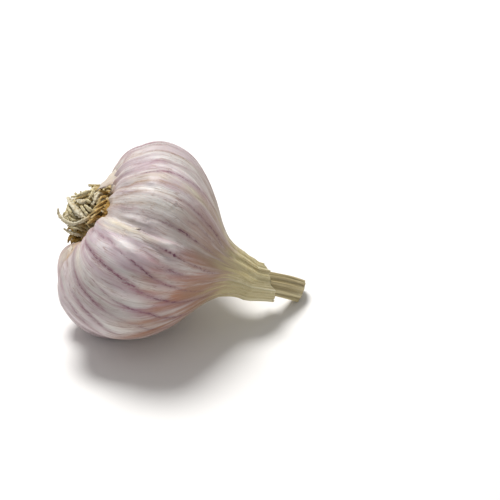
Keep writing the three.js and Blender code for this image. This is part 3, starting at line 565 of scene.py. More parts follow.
# Pigment beside one vein each. A row holds its line of (t, angle, strength), its width in mm, how
# purple and how tan it is, how dark its thin line is and how dotted.
streaks = [
    ([(0.15, 2, 0.5), (0.2, -7, 0.8), (0.25, -15.5, 0.8), (0.3, -19, 0.7), (0.36, -20.5, 0.7),
      (0.44, -20.5, 0.7), (0.5, -20, 0.5), (0.6, -18, 0.4)], 1.4, 0.7, 0, 0.4, 0),
    ([(0.21, -31, 1), (0.34, -30, 1), (0.44, -28, 1), (0.5, -26, 1), (0.58, -24, 1), (0.7, -22, 1)],
     1.6, 0.7, 0, 0.4, 0.1),
    ([(0.2, -12, 0.3), (0.32, -14, 0.4), (0.42, -13.5, 0.5), (0.463, -13.2, 1), (0.5, -13.2, 1),
      (0.53, -12.8, 0.7), (0.557, -13.2, 0.5), (0.64, -13, 0.3)], 0.7, 0.1, 0.7, 0.8, 0.7),
    ([(0.3, 4.2, 0.5), (0.37, 3, 0.6), (0.4, -1.6, 0.8), (0.435, -2, 1), (0.473, -1.8, 1),
      (0.5, -2.6, 0.9), (0.53, -4.8, 0.8), (0.567, -8, 0.6), (0.66, -12, 0.4)], 1.6, 0.7, 0, 0.3, 0.1),
    ([(0.28, 14, 0.3), (0.33, 13, 0.5), (0.365, 12.4, 0.7), (0.395, 10.8, 0.9), (0.425, 10, 1),
      (0.465, 8.4, 1), (0.515, 7.6, 0.9), (0.541, 7.2, 1), (0.569, 5.6, 1), (0.593, 3.6, 0.9),
      (0.65, 0, 0.6), (0.7, -5, 0.4)], 1.3, 0.85, 0, 0.7, 0.7),
    ([(0.1, 15, 0.5), (0.2, 21, 0.7), (0.309, 21.6, 1), (0.337, 18.8, 1), (0.381, 18.8, 1),
      (0.415, 18, 1), (0.459, 17.6, 0.9), (0.513, 16.4, 0.7), (0.563, 14.8, 0.7), (0.591, 13.2, 0.7),
      (0.623, 10.8, 0.7), (0.68, 9, 0.5)], 0.8, 0.25, 0.7, 0.5, 0.2),
    ([(0.16, 29, 1), (0.26, 30, 1), (0.34, 27, 1), (0.44, 24, 0.8), (0.56, 22.5, 0.6)],
     0.6, 0.1, 0.5, 0.35, 0),
    ([(0.12, 35, 1), (0.24, 35, 1), (0.36, 32.5, 1), (0.46, 30.5, 0.8), (0.56, 29, 0.6)],
     0.6, 0.1, 0.5, 0.35, 0.1),
    ([(0.12, 37, 0.5), (0.244, 38, 0.7), (0.323, 35.4, 0.9), (0.385, 35.6, 0.9), (0.451, 36, 0.8),
      (0.55, 37, 0.5)], 2.6, 0.5, 0, 0.0, 0.0),
    ([(0.5, 24, 0.4), (0.561, 22.4, 0.7), (0.617, 22, 0.8), (0.653, 22, 1), (0.691, 21.6, 1),
      (0.713, 22, 0.9), (0.78, 24, 0.4)], 1.6, 0.8, 0, 0.6, 0.8),
    ([(0.56, 31, 0.4), (0.597, 30.4, 0.7), (0.629, 28.4, 0.7), (0.659, 29.2, 0.7), (0.72, 29, 0.6),
      (0.78, 29, 0.3)], 1.2, 0.7, 0, 0.4, 0.4),
    ([(0.36, 38.5, 0.3), (0.445, 37.8, 0.4), (0.481, 37.6, 0.6), (0.515, 37.6, 1), (0.571, 37.6, 1),
      (0.6, 37.6, 0.9), (0.631, 38, 0.8), (0.663, 38.4, 0.7), (0.74, 39, 0.5)], 1.3, 0.7, 0, 1, 0.8),
    ([(0.49, 51, 0.1), (0.517, 51.6, 0.3), (0.547, 52.4, 0.8), (0.587, 53.6, 1), (0.631, 55.2, 0.8),
      (0.679, 57.2, 0.6), (0.729, 59.6, 0.5), (0.8, 62, 0.3)], 1.2, 0.45, 0, 0.7, 1),
    ([(0.4, 51, 0.1), (0.429, 53.2, 0.15), (0.475, 56, 0.4), (0.505, 58, 0.8), (0.549, 61.2, 0.9),
      (0.587, 62.4, 1), (0.621, 64, 0.9), (0.667, 66.8, 0.6), (0.719, 70, 0.5), (0.78, 74, 0.3)],
     2.0, 0.75, 0, 0.4, 0.2),
    ([(0.2, 61.6, 0.6), (0.26, 59.5, 0.6), (0.315, 58.8, 0.5), (0.363, 58.8, 0.3), (0.401, 60.8, 0.25),
      (0.433, 62.8, 0.6), (0.459, 63.6, 1), (0.489, 65.2, 1), (0.527, 67.6, 1), (0.573, 70.8, 0.9),
      (0.623, 73.6, 0.6), (0.655, 76.8, 0.5), (0.701, 81.2, 0.4), (0.76, 88, 0.2)], 1.5, 0.65, 0, 1, 0.9),
    ([(0.14, 76, 0.6), (0.22, 72.4, 1), (0.28, 70.5, 0.9), (0.319, 70.4, 0.8), (0.359, 71.6, 0.8),
      (0.413, 73.2, 1), (0.455, 75.2, 1), (0.491, 76.4, 1), (0.525, 78.8, 0.8), (0.571, 81.6, 0.8),
      (0.615, 84.8, 0.9), (0.671, 92, 0.9), (0.711, 95.6, 0.7), (0.78, 104, 0.4)], 2.2, 1, 0, 1, 0.8),
    ([(0.22, 87, 0.2), (0.301, 87.2, 0.3), (0.369, 85.6, 0.35), (0.415, 88, 0.4), (0.449, 90.4, 0.5),
      (0.501, 91.6, 0.8), (0.549, 93.6, 1), (0.595, 96.8, 1), (0.631, 102.8, 1), (0.659, 106.4, 0.9),
      (0.73, 116, 0.5)], 1.6, 0.85, 0, 0.8, 0.5),
    ([(0.14, 99, 0.4), (0.257, 97.6, 0.6), (0.309, 96.8, 0.8), (0.349, 97.6, 1), (0.389, 98, 1),
      (0.417, 99.2, 0.9), (0.449, 100.4, 0.6), (0.481, 101.2, 0.5), (0.523, 102.8, 0.4),
      (0.559, 105.2, 0.4), (0.68, 120, 0.3)], 1.9, 0.9, 0, 0.8, 0.6),
    ([(0.09, 99.5, 1), (0.14, 101, 1), (0.16, 104, 1), (0.18, 105.8, 0.9), (0.2, 108.4, 0.6),
      (0.23, 112, 0.3)], 0.8, 0, 2.0, 1, 0),
    ([(0.26, 104, 0.3), (0.365, 105.6, 0.6), (0.411, 107.2, 0.9), (0.441, 108.8, 0.9),
      (0.473, 111.2, 0.7), (0.515, 112.8, 0.5), (0.6, 121, 0.3)], 1.2, 0.85, 0, 0.6, 0.3),
    ([(0.16, 112, 0.4), (0.337, 111.2, 0.6), (0.377, 112, 0.7), (0.411, 113.6, 0.7),
      (0.445, 115.6, 0.6), (0.475, 117.6, 0.5), (0.58, 127, 0.4)], 1.3, 0.8, 0, 0.5, 0.3),
    ([(0.14, 121, 0.7), (0.3, 120.5, 0.8), (0.44, 125, 0.8), (0.6, 136, 0.6)], 1.3, 0.75, 0, 0.5, 0.3),
    ([(0.14, 131, 1), (0.3, 131, 1), (0.44, 134, 1), (0.6, 142, 0.7)], 1.5, 0.8, 0, 0.5, 0.3),
]
unseenStreaks = {  # those on the far side
    "first": 143,  # degrees
    "last": 318,
    "spacing": 10.5,
    "seed": 12,
    "starts": (0.1, 0.34),  # t
    "ends": (0.56, 0.8),
    "points": 5,
    "drift": 2.2,
    "strengths": (0.5, 1),
    "tanOnes": 0.22,  # the share of them that are tan
    "tan": 0.6,
    "tanPurple": 0.15,
    "tanWidths": (0.6, 0.9),
    "purples": (0.55, 1),
    "widths": (1.2, 2.4),
    "lines": (0.25, 0.95),
    "dots": [0, 0.3, 0.9],
}
pigment = {  # how it lies beside a vein
    "fade": 0.06,  # in t, at a streak's ends
    "spreads": (1.5, 0.75),  # of its width: the pigment has run out to one side
    "soft": 0.55,  # share that is spread out
    "core": 0.45,  # share that stays in the middle
    "coreWidth": 0.4,  # of its width
    "lineReach": (3.2, 1.8),  # mm from a vein where its line ends, where it is whole
    "farthest": 5,  # mm from a vein, no more is stored
    "leastRadius": 5,  # mm, so that no streak opens out at the root plate
}


def addUnseenStreaks():
    rule = unseenStreaks
    random = np.random.default_rng(rule["seed"])
    for index in range(int((rule["last"] - rule["first"]) / rule["spacing"])):
        angle = rule["first"] + rule["spacing"] * (index + random.uniform(0.1, 0.9))
        start, end = random.uniform(*rule["starts"]), random.uniform(*rule["ends"])
        places = np.linspace(start, end, rule["points"])
        drift = np.cumsum(random.uniform(-rule["drift"], rule["drift"], rule["points"]))
        line = [(float(t), float(angle + by), random.uniform(*rule["strengths"]))
                for t, by in zip(places, drift)]
        tan = rule["tan"] if random.random() < rule["tanOnes"] else 0.0
        purple = rule["tanPurple"] if tan else random.uniform(*rule["purples"])
        wide = random.uniform(*rule["tanWidths" if tan else "widths"])
        dark, dotted = random.uniform(*rule["lines"]), random.choice(rule["dots"])
        streaks.append((line, wide, purple, tan, dark, dotted))


def streakLayers(t, angle, radius):
    rule = pigment
    purpleBand, tanBand = np.zeros_like(t), np.zeros_like(t)
    layers = []
    ordered = sorted(streaks, key=lambda streak: streak[0][len(streak[0]) // 2][1])
    for first in (0, 1):  # neighbours go to different layers, so that each line stays crisp
        nearest = np.full_like(t, 99.0)
        tone, dots = np.zeros_like(t), np.zeros_like(t)
        for line, wide, purple, tan, dark, dotted in ordered[first::2]:
            away = awayFrom(line, t, angle, np.maximum(radius, rule["leastRadius"]))
            places, _, strengths = zip(*line)
            span = spanOf(line, rule["fade"], t) * np.interp(t, places, strengths)
            spread = np.where(away > 0, *rule["spreads"]) * wide
            soft = rule["soft"] * np.exp(-(away / spread) ** 2)
            core = rule["core"] * np.exp(-(away / wide / rule["coreWidth"]) ** 2)
            band = span * (soft + core)
            purpleBand = np.maximum(purpleBand, purple * band)
            tanBand = np.maximum(tanBand, tan * band)
            nearer = np.abs(away) < np.abs(nearest)
            fading = smoothStep(*rule["lineReach"], np.abs(away)) * span
            nearest = np.where(nearer, away, nearest)
            tone = np.where(nearer, dark * fading, tone)
            dots = np.where(nearer, dotted * fading, dots)
        nearest = np.clip(nearest, -rule["farthest"], rule["farthest"])
        layers.append(np.stack([nearest, tone, dots], axis=-1))
    return layers, purpleBand, tanBand


addUnseenStreaks()
creamLines = [  # bare, pale yellow crests: line, mm wide, share
    ([(0.14, 47), (0.22, 48), (0.3, 46.6)], 0.9, 0.45),
    ([(0.3, 46.6), (0.38, 47.8), (0.44, 49)], 0.9, 0.9),
    ([(0.26, 52.5), (0.34, 51.4), (0.42, 51.6)], 0.6, 0.5),
    ([(0.44, 49.4), (0.48, 50), (0.52, 50)], 0.9, 0.5),
    ([(0.52, 14), (0.6, 11), (0.68, 5)], 1.6, 0.5),
    ([(0.3, 14), (0.42, 14), (0.5, 12)], 1.6, 0.35),
    ([(0.1, 92), (0.2, 92), (0.3, 91)], 1.3, 0.2),
    ([(0.08, 110), (0.14, 112), (0.18, 115)], 1.8, 0.85),
    ([(0.08, 120), (0.14, 122), (0.2, 124)], 1.2, 0.7),
]


tintSpots = {  # t, angle, spread in t, spread in degrees, share
    "paintedHighlight": [  # painted highlights: bright pearl patches where the light's sheen falls
        (0.42, -5.6, 0.07, 2.0, 1.0),
        (0.46, 21.8, 0.07, 1.7, 1.0),
        (0.49, 29.2, 0.045, 1.8, 0.75),
        (0.55, 17, 0.05, 1.6, 0.5),
        (0.276, 61.5, 0.03, 2.6, 0.6),
        (0.34, 62.6, 0.045, 3.2, 0.75),
        (0.41, 57.6, 0.035, 3.0, 0.75),
        (0.37, 41, 0.025, 1.3, 0.7),
        (0.55, 49.4, 0.04, 2.2, 1.0),
        (0.45, 51.4, 0.035, 1.7, 1.0),
        (0.5, 55.4, 0.03, 1.3, 1.0),
        (0.5, 53, 0.03, 1.4, 0.6),
        (0.53, 51.2, 0.03, 1.4, 0.5),
        (0.437, 63.2, 0.03, 1.8, 0.55),
        (0.66, 42, 0.03, 3.0, 0.3),
        (0.545, 56.4, 0.02, 1.2, 0.7),
        (0.385, 61, 0.025, 1.5, 0.15),
        (0.51, 24, 0.04, 2.0, 0.6),
        (0.547, 20, 0.04, 2.0, 0.7),
        (0.45, 27.6, 0.035, 1.6, 0.5),
        (0.67, 39, 0.04, 3.5, 0.4),
        (0.6, 46.6, 0.025, 1.6, 0.7),
        (0.395, 68, 0.03, 2.0, 0.5),
        (0.49, 112.4, 0.05, 4.0, 0.9),
        (0.38, 111.6, 0.05, 4.0, 0.6),
        (0.26, 87, 0.08, 5, 0.3),
        (0.4, 205, 0.08, 4, 0.5),
        (0.36, 262, 0.06, 3, 0.6),
        (0.42, 318, 0.07, 3, 0.6),
    ],
    "wax": [  # greenish white, where a leaf vein has dried bare
        (0.585, 11.8, 0.06, 2.2, 0.85),
        (0.5, 232, 0.07, 2, 0.4),
        (0.2, 89, 0.08, 4.0, 0.55),
    ],
    "paintedShadeSpots": [  # painted shade: greyer patches where the skin has sunk in
        (0.34, 37, 0.05, 4.0, 0.42),
        (0.245, 43, 0.05, 6.0, 0.5),
        (0.465, 40.6, 0.05, 1.4, 0.6),
        (0.27, 7, 0.06, 6.0, 0.45),
        (0.17, -9, 0.05, 8.0, 0.4),
        (0.337, 11.6, 0.05, 3.0, 0.35),
        (0.295, 20.4, 0.05, 4.0, 0.4),
        (0.405, 21, 0.03, 1.6, 0.75),
        (0.18, 12.8, 0.04, 4.0, 0.3),
        (0.42, 81.6, 0.05, 3.0, 0.3),
        (0.33, 25, 0.05, 3.0, 0.2),
        (0.11, 118, 0.03, 8, 0.75),
        (0.135, 112, 0.03, 7, 0.6),
        (0.095, 108, 0.02, 5, 0.8),
    ],
    "rootStain": [  # tan, where it was drawn in to the plate
        (0.2, 38, 0.07, 20, 0.3),
        (0.2, -20, 0.06, 30, 0.15),
        (0.12, 112, 0.05, 11, 0.08),
        (0.19, 215, 0.06, 60, 0.2),
    ],
}
knots = {  # dark purple dots on one vein
    "places": [(0.551, 52.4), (0.568, 52.8), (0.587, 53.3)],
    "size": 0.4,  # mm
    "darker": 12,
}
stainAndShadeRule = {  # brown before the neck, strongest toward the viewer: partly earth stain, partly painted shade and painted brown reflected light
    "from": 0.48,
    "to": 0.69,
    "toward": 90,
    "spread": 40,
    "most": 1.4,
    "least": 0.3,
}
hollowRule = {  # painted shade: greyer skin in the grooves between cloves and behind the raised fold
    "inGroove": 0.26,
    "sharpness": 4,
    "valley": [(0.3, 44.6), (0.4, 45.4), (0.5, 46.2)],
    "valleyWidth": 1.5,  # mm
    "valleySpan": [(0.33, 0), (0.52, 0)],
    "inValley": 0.35,
    "fade": 0.06,
}
ageing = {  # how the colour changes along t
    "wander": {"by": 0.05, "cells": 24, "spacing": 9, "seed": 51},
    "rootEnd": (0.2, 0.02),  # tan from, to
    "rootMost": 1.2,
    "rootLimit": 1.3,
    "neck": (0.3, 0.9),  # mauve, then yellow, from, to
    "later": {"by": 0.05, "toward": 70, "spread": 50},  # the mauve runs further on toward the viewer
    "creamFade": 0.05,
}

skinFinish = {  # colours, and how the noises and stored vectors lay them on
    "ground": "pearl",
    "colours": {
        "pearl": "#d8d2cd",
        "grey": "#bcbab3",
        "lilac": "#bba8b0",
        "pale": "#ebe6e2",
        # the colour of the painted highlights
        "white": "#f4f3ef",
        "wax": "#dad9c6",
        "purple": "#8e596b",
        "purpleLine": "#602a42",
        "tan": "#a5855f",
        "tanLine": "#86603c",
        "veinBrown": "#8c695f",
        "cream": "#e6d9bb",
        # the brown of the earth stain and of the painted shade before the neck
        "earth": "#b27148",
        "neckMauve": "#94786a",
        "neckBrown": "#957a4c",
        "neckCream": "#cbc094",
        "neckOlive": "#8c7544",
        # the colour of the painted highlights on the neck
        "neckPaintedHighlight": "#f3edd2",
        "rootTan": "#a88455",
        # the colour of the painted shade in the grooves and sunken places
        "hollow": "#8f8387",
    },
    "layers": {  # mm across one streak at the widest, mm along it, detail
        "patch": (9, 45, 2.0),
        "tint": (5, 32, 3.0),
        "vein": (2.6, 34, 6.0),
        "hair": (1.6, 40, 2.0),
        "finer": (0.85, 26, 2.0),
        "fibre": (0.4, 13, 3.0),
        "crinkle": (3.0, 1.1, 4.0),
        "blotch": (5.0, 7, 2.0),
        "segment": (8.0, 5, 1.0),
        "speck": (0.5, 0.8, 2.0),
    },
    "warp": (0.05, 14),  # share of the radius, mm along for one wave
    "lineLayers": {  # waves for each mm along a vein and across it, detail; a dot is about 1 mm long
        "dash": ((1.0, 2.2, 1.0), 3.0),
        "run": ((0.16, 0.2, 1.0), 1.0),
    },
    "parts": {  # what the head's stored vectors hold
        "skinWay": ("acrossX", "acrossY", "arc"),
        "skinBands": ("purpleBand", "tanBand", "creamBand"),
        "skinEnds": ("rootEnd", "neck", "hollow"),
        "skinTints": ("earthStainAndShade", "paintedHighlight", "wax"),
        "skinLineOne": ("asideOne", "toneOne", "dotsOne"),
        "skinLineTwo": ("asideTwo", "toneTwo", "dotsTwo"),
    },
    "masks": {  # read from, its low and high, what they become
        "lilacPatch": ("patch", 0.4, 0.64, 0, 0.9),
        "greyPatch": ("tint", 0.5, 0.66, 0, 0.6),
        "darkVein": ("vein", 0.52, 0.7, 0, 0.5),
        "paleVein": ("vein", 0.47, 0.33, 0, 0.6),
        "veined": ("vein", 0.35, 0.65, 0.45, 0.8),
        "stainStreak": ("vein", 0.36, 0.64, 0.15, 1.0),
        "inPieces": ("segment", 0.3, 0.6, 0, 1),
        "hairVein": ("hairOff", 0.022, 0, 0, 0.52),
        "fineVein": ("finerOff", 0.032, 0, 0, 0.42),
        "fibrous": ("fibre", 0.3, 0.7, 0.45, 1),
        "rootFibre": ("fibre", 0.36, 0.62, 0.25, 1),
        "blotched": ("blotch", 0.25, 0.6, 0.35, 1),
        "grained": ("speck", 0.3, 0.62, 0.78, 1.25),
        "speckled": ("speck", 0.35, 0.65, 0.3, 1),
        "towardNeck": ("neck", 0.1, 0.85, 0, 1),
        "beforeNeck": ("neck", 0.5, 0.9, 0, 0.62),
        "startOfNeck": ("neck", 0.7, 0.95, 0, 0.85),
        "inFingers": ("vein", 0.42, 0.6, 0, 1),
        "onNeck": ("neck", 0.87, 1.0, 0, 0.95),
        "neckStripe": ("vein", 0.5, 0.68, 0, 0.7),
        "neckHair": ("finerOff", 0.035, 0, 0, 0.6),
        # painted highlights on the neck: along the raised veins and on the crumples
        "neckGleam": ("vein", 0.46, 0.32, 0, 0.8),
        "neckFoldHighlight": ("crinkle", 0.54, 0.74, 0, 0.35),
    },
    "lineMasks": {  # of each of the two nearest veins
        "soft": ("off", 1.0, 0, 0, 0.55),
        "core": ("off", 0.4, 0, 0, 0.75),
        "near": ("off", 0.54, 0.18, 0, 1),
        "present": ("run", 0.38, 0.58, 0.35, 1),
        "dashed": ("dash", 0.36, 0.62, 0.2, 1),
        "dotted": ("dash", 0.53, 0.64, 0, 0.9),
    },
    "coats": [  # paint, the masks that make up its share
        ("lilac", ["lilacPatch"]),
        ("grey", ["greyPatch"]),
        ("purple", ["darkVein"]),
        ("pale", ["paleVein"]),
        # brown before the neck: part earth stain, part painted shade and painted brown reflection
        ("earth", ["earthStainAndShade", "stainStreak"]),
        # painted highlights: white laid on the bright patches, along the veins
        ("white", ["paintedHighlight", "veined"]),
        ("veinBrown", ["hairVein", "inPieces"]),
        ("tanLine", ["fineVein", "inPieces"]),
        ("purple", ["purpleBand", "fibrous", "blotched", "grained"]),
        ("tan", ["tanBand", "fibrous", "blotched"]),
        ("wax", ["wax", "fibrous"]),
        ("cream", ["creamBand", "fibrous"]),
        # painted shade in the grooves, in the valley behind the fold and on the sunken patches
        ("hollow", ["hollow"]),
        ("rootTan", ["rootEnd", "rootFibre", "blotched"]),
        ("neckMauve", ["towardNeck", "veined"]),
        ("neckBrown", ["beforeNeck", "veined"]),
        ("neckCream", ["startOfNeck", "inFingers"]),
        ("neckCream", ["onNeck"]),
        ("neckOlive", ["onNeck", "neckStripe"]),
        ("neckOlive", ["onNeck", "neckHair"]),
        # painted highlights on the neck
        ("neckPaintedHighlight", ["onNeck", "neckGleam"]),
        ("neckPaintedHighlight", ["onNeck", "neckFoldHighlight"]),
    ],
    "lineCoats": [
        ("line", ["soft", "speckled", "present", "tone"]),
        ("line", ["core", "dashed", "present", "tone"]),
        ("purpleLine", ["dotted", "near", "present", "dots"]),
    ],
    "shades": [("fibre", 0.25, 0.75, 0.88, 1.09), ("speck", 0.2, 0.8, 0.95, 1.04)],
    "relief": [("vein", 0.2), ("finer", 0.09), ("fibre", 0.05), ("crinkle", 0.09)],  # mm high
    "gloss": ("blotch", 0.3, 0.7, 0.34, 0.54),
    "surface": {
        "IOR": 1.45,
        "Subsurface Weight": 0.12,
        "Subsurface Radius": (1.0, 0.7, 0.55),
        "Subsurface Scale": 1.2 * mm,
    },
}


def makeSkinMaterial():
    # Dried garlic skin: papery outer leaves, shrunk over the cloves. Silky and faintly see-through,
    # with long veins that catch the light as satin streaks and grains of purple pigment beside them.
    look = skinFinish
    material, tree = newMaterial("driedGarlicSkin")
    paints = {name: toLinear(colour) for name, colour in look["colours"].items()}
    values = {}
    for name, parts in look["parts"].items():
        values[name] = addNode(tree, "Attribute", attribute_name=name).outputs["Vector"]
        values.update(zip(parts, addNode(tree, "SeparateXYZ", {0: values[name]}).outputs))

    by, length = look["warp"]
    inputs = {0: values["skinWay"], 1: (2.2, 2.2, 1 / length)}
    slow = addNode(tree, "VectorMath", inputs, operation="MULTIPLY")
    drift = addNode(tree, "TexNoise", {"Vector": slow.outputs[0], "Scale": 1.0, "Detail": 2.0})
    sway = addNode(tree, "VectorMath", {0: drift.outputs[1], 1: (2 * by, 2 * by, 0), 2: (-by, -by, 0)},
                   operation="MULTIPLY_ADD")
    way = addNode(tree, "VectorMath", {0: values["skinWay"], 1: sway.outputs[0]}, operation="ADD")
    addStretched(tree, way.outputs[0], look["layers"], headShape["widest"], values)
    for name in ("hair", "finer"):
        beside = addNode(tree, "Math", {0: values[name], 1: 0.5}, operation="SUBTRACT")
        values[name + "Off"] = addNode(tree, "Math", {0: beside.outputs[0]}, operation="ABSOLUTE").outputs[0]

    masks, coats = dict(look["masks"]), list(look["coats"])
    wander = addNode(tree, "MapRange", {"Value": values["blotch"], "To Min": -0.45, "To Max": 0.45})
    for number, seed in (("One", 0.0), ("Two", 7.3)):
        aside = addNode(tree, "Math", {0: values["aside" + number], 1: wander.outputs[0]}, operation="ADD")
        values["off" + number] = addNode(tree, "Math", {0: aside.outputs[0]}, operation="ABSOLUTE").outputs[0]
        place = addNode(tree, "CombineXYZ", {0: values["arc"], 1: aside.outputs[0], 2: seed})
        for name, (scales, detail) in look["lineLayers"].items():
            stretched = addNode(tree, "VectorMath", {0: place.outputs[0], 1: scales}, operation="MULTIPLY")
            inputs = {"Vector": stretched.outputs[0], "Scale": 1.0, "Detail": detail}
            values[name + number] = addNode(tree, "TexNoise", inputs).outputs[0]
        for name, (source, *ends) in look["lineMasks"].items():
            masks[name + number] = (source + number, *ends)
        for paint, shares in look["lineCoats"]:
            ofThisLine = [share + number for share in shares]
            coats.append((paint, [own if own in masks or own in values else share
                                  for own, share in zip(ofThisLine, shares)]))
    isTan = addNode(tree, "Math", {0: values["tanBand"], 1: values["purpleBand"]}, operation="GREATER_THAN")
    inputs = {0: isTan.outputs[0], 6: paints["purpleLine"], 7: paints["tanLine"]}
    paints["line"] = addNode(tree, "Mix", inputs, data_type="RGBA").outputs[2]
    addSurface(tree, look, values, paints, masks, coats)
    return material


headMesh = {  # rings of points along the skin, then the inside of the neck
    "rows": 226,
    "angleStep": 0.95,  # degrees
    "foldStep": 0.5,  # closer together where the fold of skin is
    "foldFrom": 38,
    "foldTo": 60,
    "plateRecess": 2.0,
    "plateRadius": 9.9,
    "lipRing": (0.15, 5.25),  # past the mouth, radius
    "lipInside": [(-0.7, 4.95), (-1.6, 4.6)],
    "socket": (34, 30, 4.3),  # middle, floor, radius
}


def tubeFaces(rings, sides, turned=False, start=0):  # quads between rings, and a fan to a point at each end
    ring, side = np.meshgrid(np.arange(rings - 1), np.arange(sides), indexing="ij")
    beside = (side + 1) % sides
    here, above = ring * sides, (ring + 1) * sides
    corners = [here + side, here + beside, above + beside, above + side]
    quads = np.stack([corner.ravel() for corner in corners], axis=-1) + start
    faces = (quads[:, ::-1] if turned else quads).tolist()
    firstCap, lastRing = start + rings * sides, start + (rings - 1) * sides
    for side in range(sides):
        beside = (side + 1) % sides
        near, far = (side, beside) if turned else (beside, side)
        faces.append([firstCap, start + near, start + far])
        faces.append([firstCap + 1, lastRing + far, lastRing + near])
    return faces


def makeHead(material):
    shape = headMesh
    sparse = np.arange(shape["foldTo"], 360 + shape["foldFrom"], shape["angleStep"])
    dense = np.arange(shape["foldFrom"], shape["foldTo"], shape["foldStep"])
    angles = np.concatenate([dense, sparse])
    sides = len(angles)
    arcs = np.linspace(0, arcLengths[-1], shape["rows"])
    places = np.interp(arcs, arcLengths, arcTable)
    t, angle = np.meshgrid(places, angles, indexing="ij")
    skin = skinPlace(t, angle)
    floorAlong = headShape["outline"][0][0] + shape["plateRecess"]
    recess = neckPlace(np.full(sides, floorAlong), shape["plateRadius"], angles)
    socketMiddle, socketFloor, socketRadius = shape["socket"]
    inside = [neckPlace(mouthAt(angles) + past, radius, angles) for past, radius in
              [shape["lipRing"], *shape["lipInside"]]]
    inside += [neckPlace(np.full(sides, float(along)), socketRadius, angles)
               for along in (socketMiddle, socketFloor)]
    rings = [recess, *skin, *inside]
    points = np.concatenate([*rings, [recess.mean(0)], [inside[-1].mean(0)]])
    faces = tubeFaces(len(rings), sides)
    points[:, 2] = np.maximum(points[:, 2], 0)  # the small flat spots that it lies on

    ringT = np.concatenate([[0.0], places, np.full(len(inside), 1.0)])
    ringArc = np.concatenate([[-2.0], arcs, arcs[-1] + np.arange(1, len(inside) + 1) * 1.5])
    t, angle = (np.append(grid, [0, 1] if i == 0 else [0, 0]) for i, grid in
                enumerate(np.meshgrid(ringT, angles, indexing="ij")))
    arc = np.append(np.repeat(ringArc, sides), [-8, arcs[-1] + 12])
    radius = splineAt(headShape["outline"], t)[:, 1]
    (lineOne, lineTwo), purpleBand, tanBand = streakLayers(t, angle, radius)
    cream = np.zeros_like(t)
    for line, wide, share in creamLines:
        away = awayFrom(line, t, angle, radius) / wide
        cream = np.maximum(cream, share * spanOf(line, ageing["creamFade"], t) * np.exp(-away * away))
    # painted shade in the grooves between cloves and in the valley behind the fold
    rule = hollowRule
    valley = awayFrom(rule["valley"], t, angle, radius) / rule["valleyWidth"]
    inValley = rule["inValley"] * spanOf(rule["valleySpan"], rule["fade"], t) * np.exp(-valley * valley)
    groove = rule["inGroove"] * nearGroove(lobeAt(angle)[0], rule["sharpness"])
    hollow = np.maximum(groove * shareAt("groove", t), inValley)
    warp = ageing["wander"]["by"] * cellNoise(ageing["wander"], angle, np.maximum(arc, 0))
    rootEnd = ageing["rootMost"] * smoothStep(*ageing["rootEnd"], t + warp)
    later = ageing["later"]
    delay = later["by"] * np.exp(-(angleBetween(angle, later["toward"]) / later["spread"]) ** 2)
    neck = smoothStep(*ageing["neck"], t + warp - delay)
    # earth stain mixed with painted shade, strongest toward the viewer
    rule = stainAndShadeRule
    earthStainAndShade = np.exp(-(angleBetween(angle, rule["toward"]) / rule["spread"]) ** 2)
    earthStainAndShade = rule["least"] + (rule["most"] - rule["least"]) * earthStainAndShade
    earthStainAndShade = earthStainAndShade * smoothStep(rule["from"], rule["to"], t + warp)
    spots = {}
    # the spots hold the painted highlights, the wax, the painted shade and the root stain
    for name, placed in tintSpots.items():
        spots[name] = np.zeros_like(t)
        for *spot, share in placed:
            spots[name] = np.maximum(spots[name], share * spotAt(t, angle, *spot))
    hollow = np.maximum(hollow, spots["paintedShadeSpots"])
    rootEnd = np.minimum(rootEnd + spots["rootStain"], ageing["rootLimit"])
    for place in knots["places"]:
        beside = awayFrom([place, place], t, angle, radius)
        offset = np.hypot(beside, arc - arcAt(place[0])) / knots["size"]
        for line in (lineOne, lineTwo):
            line[:, 1] *= 1 + knots["darker"] * np.exp(-offset * offset)
    attributes = {
        "skinWay": np.stack([np.cos(angle * degree), np.sin(angle * degree), arc], axis=-1),
        "skinLineOne": lineOne,
        "skinLineTwo": lineTwo,
        "skinBands": np.stack([purpleBand, tanBand, cream], axis=-1),
        "skinEnds": np.stack([rootEnd, neck, hollow], axis=-1),
        "skinTints": np.stack([earthStainAndShade, spots["paintedHighlight"], spots["wax"]], axis=-1),
    }
    head = meshPiece("bulb_head_skin", points, faces, material, attributes)
    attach(head, "root")
    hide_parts("bulb_head")
    return head


skinMaterial = makeSkinMaterial()
head = makeHead(skinMaterial)
print("head made,", len(head.data.polygons), "faces")

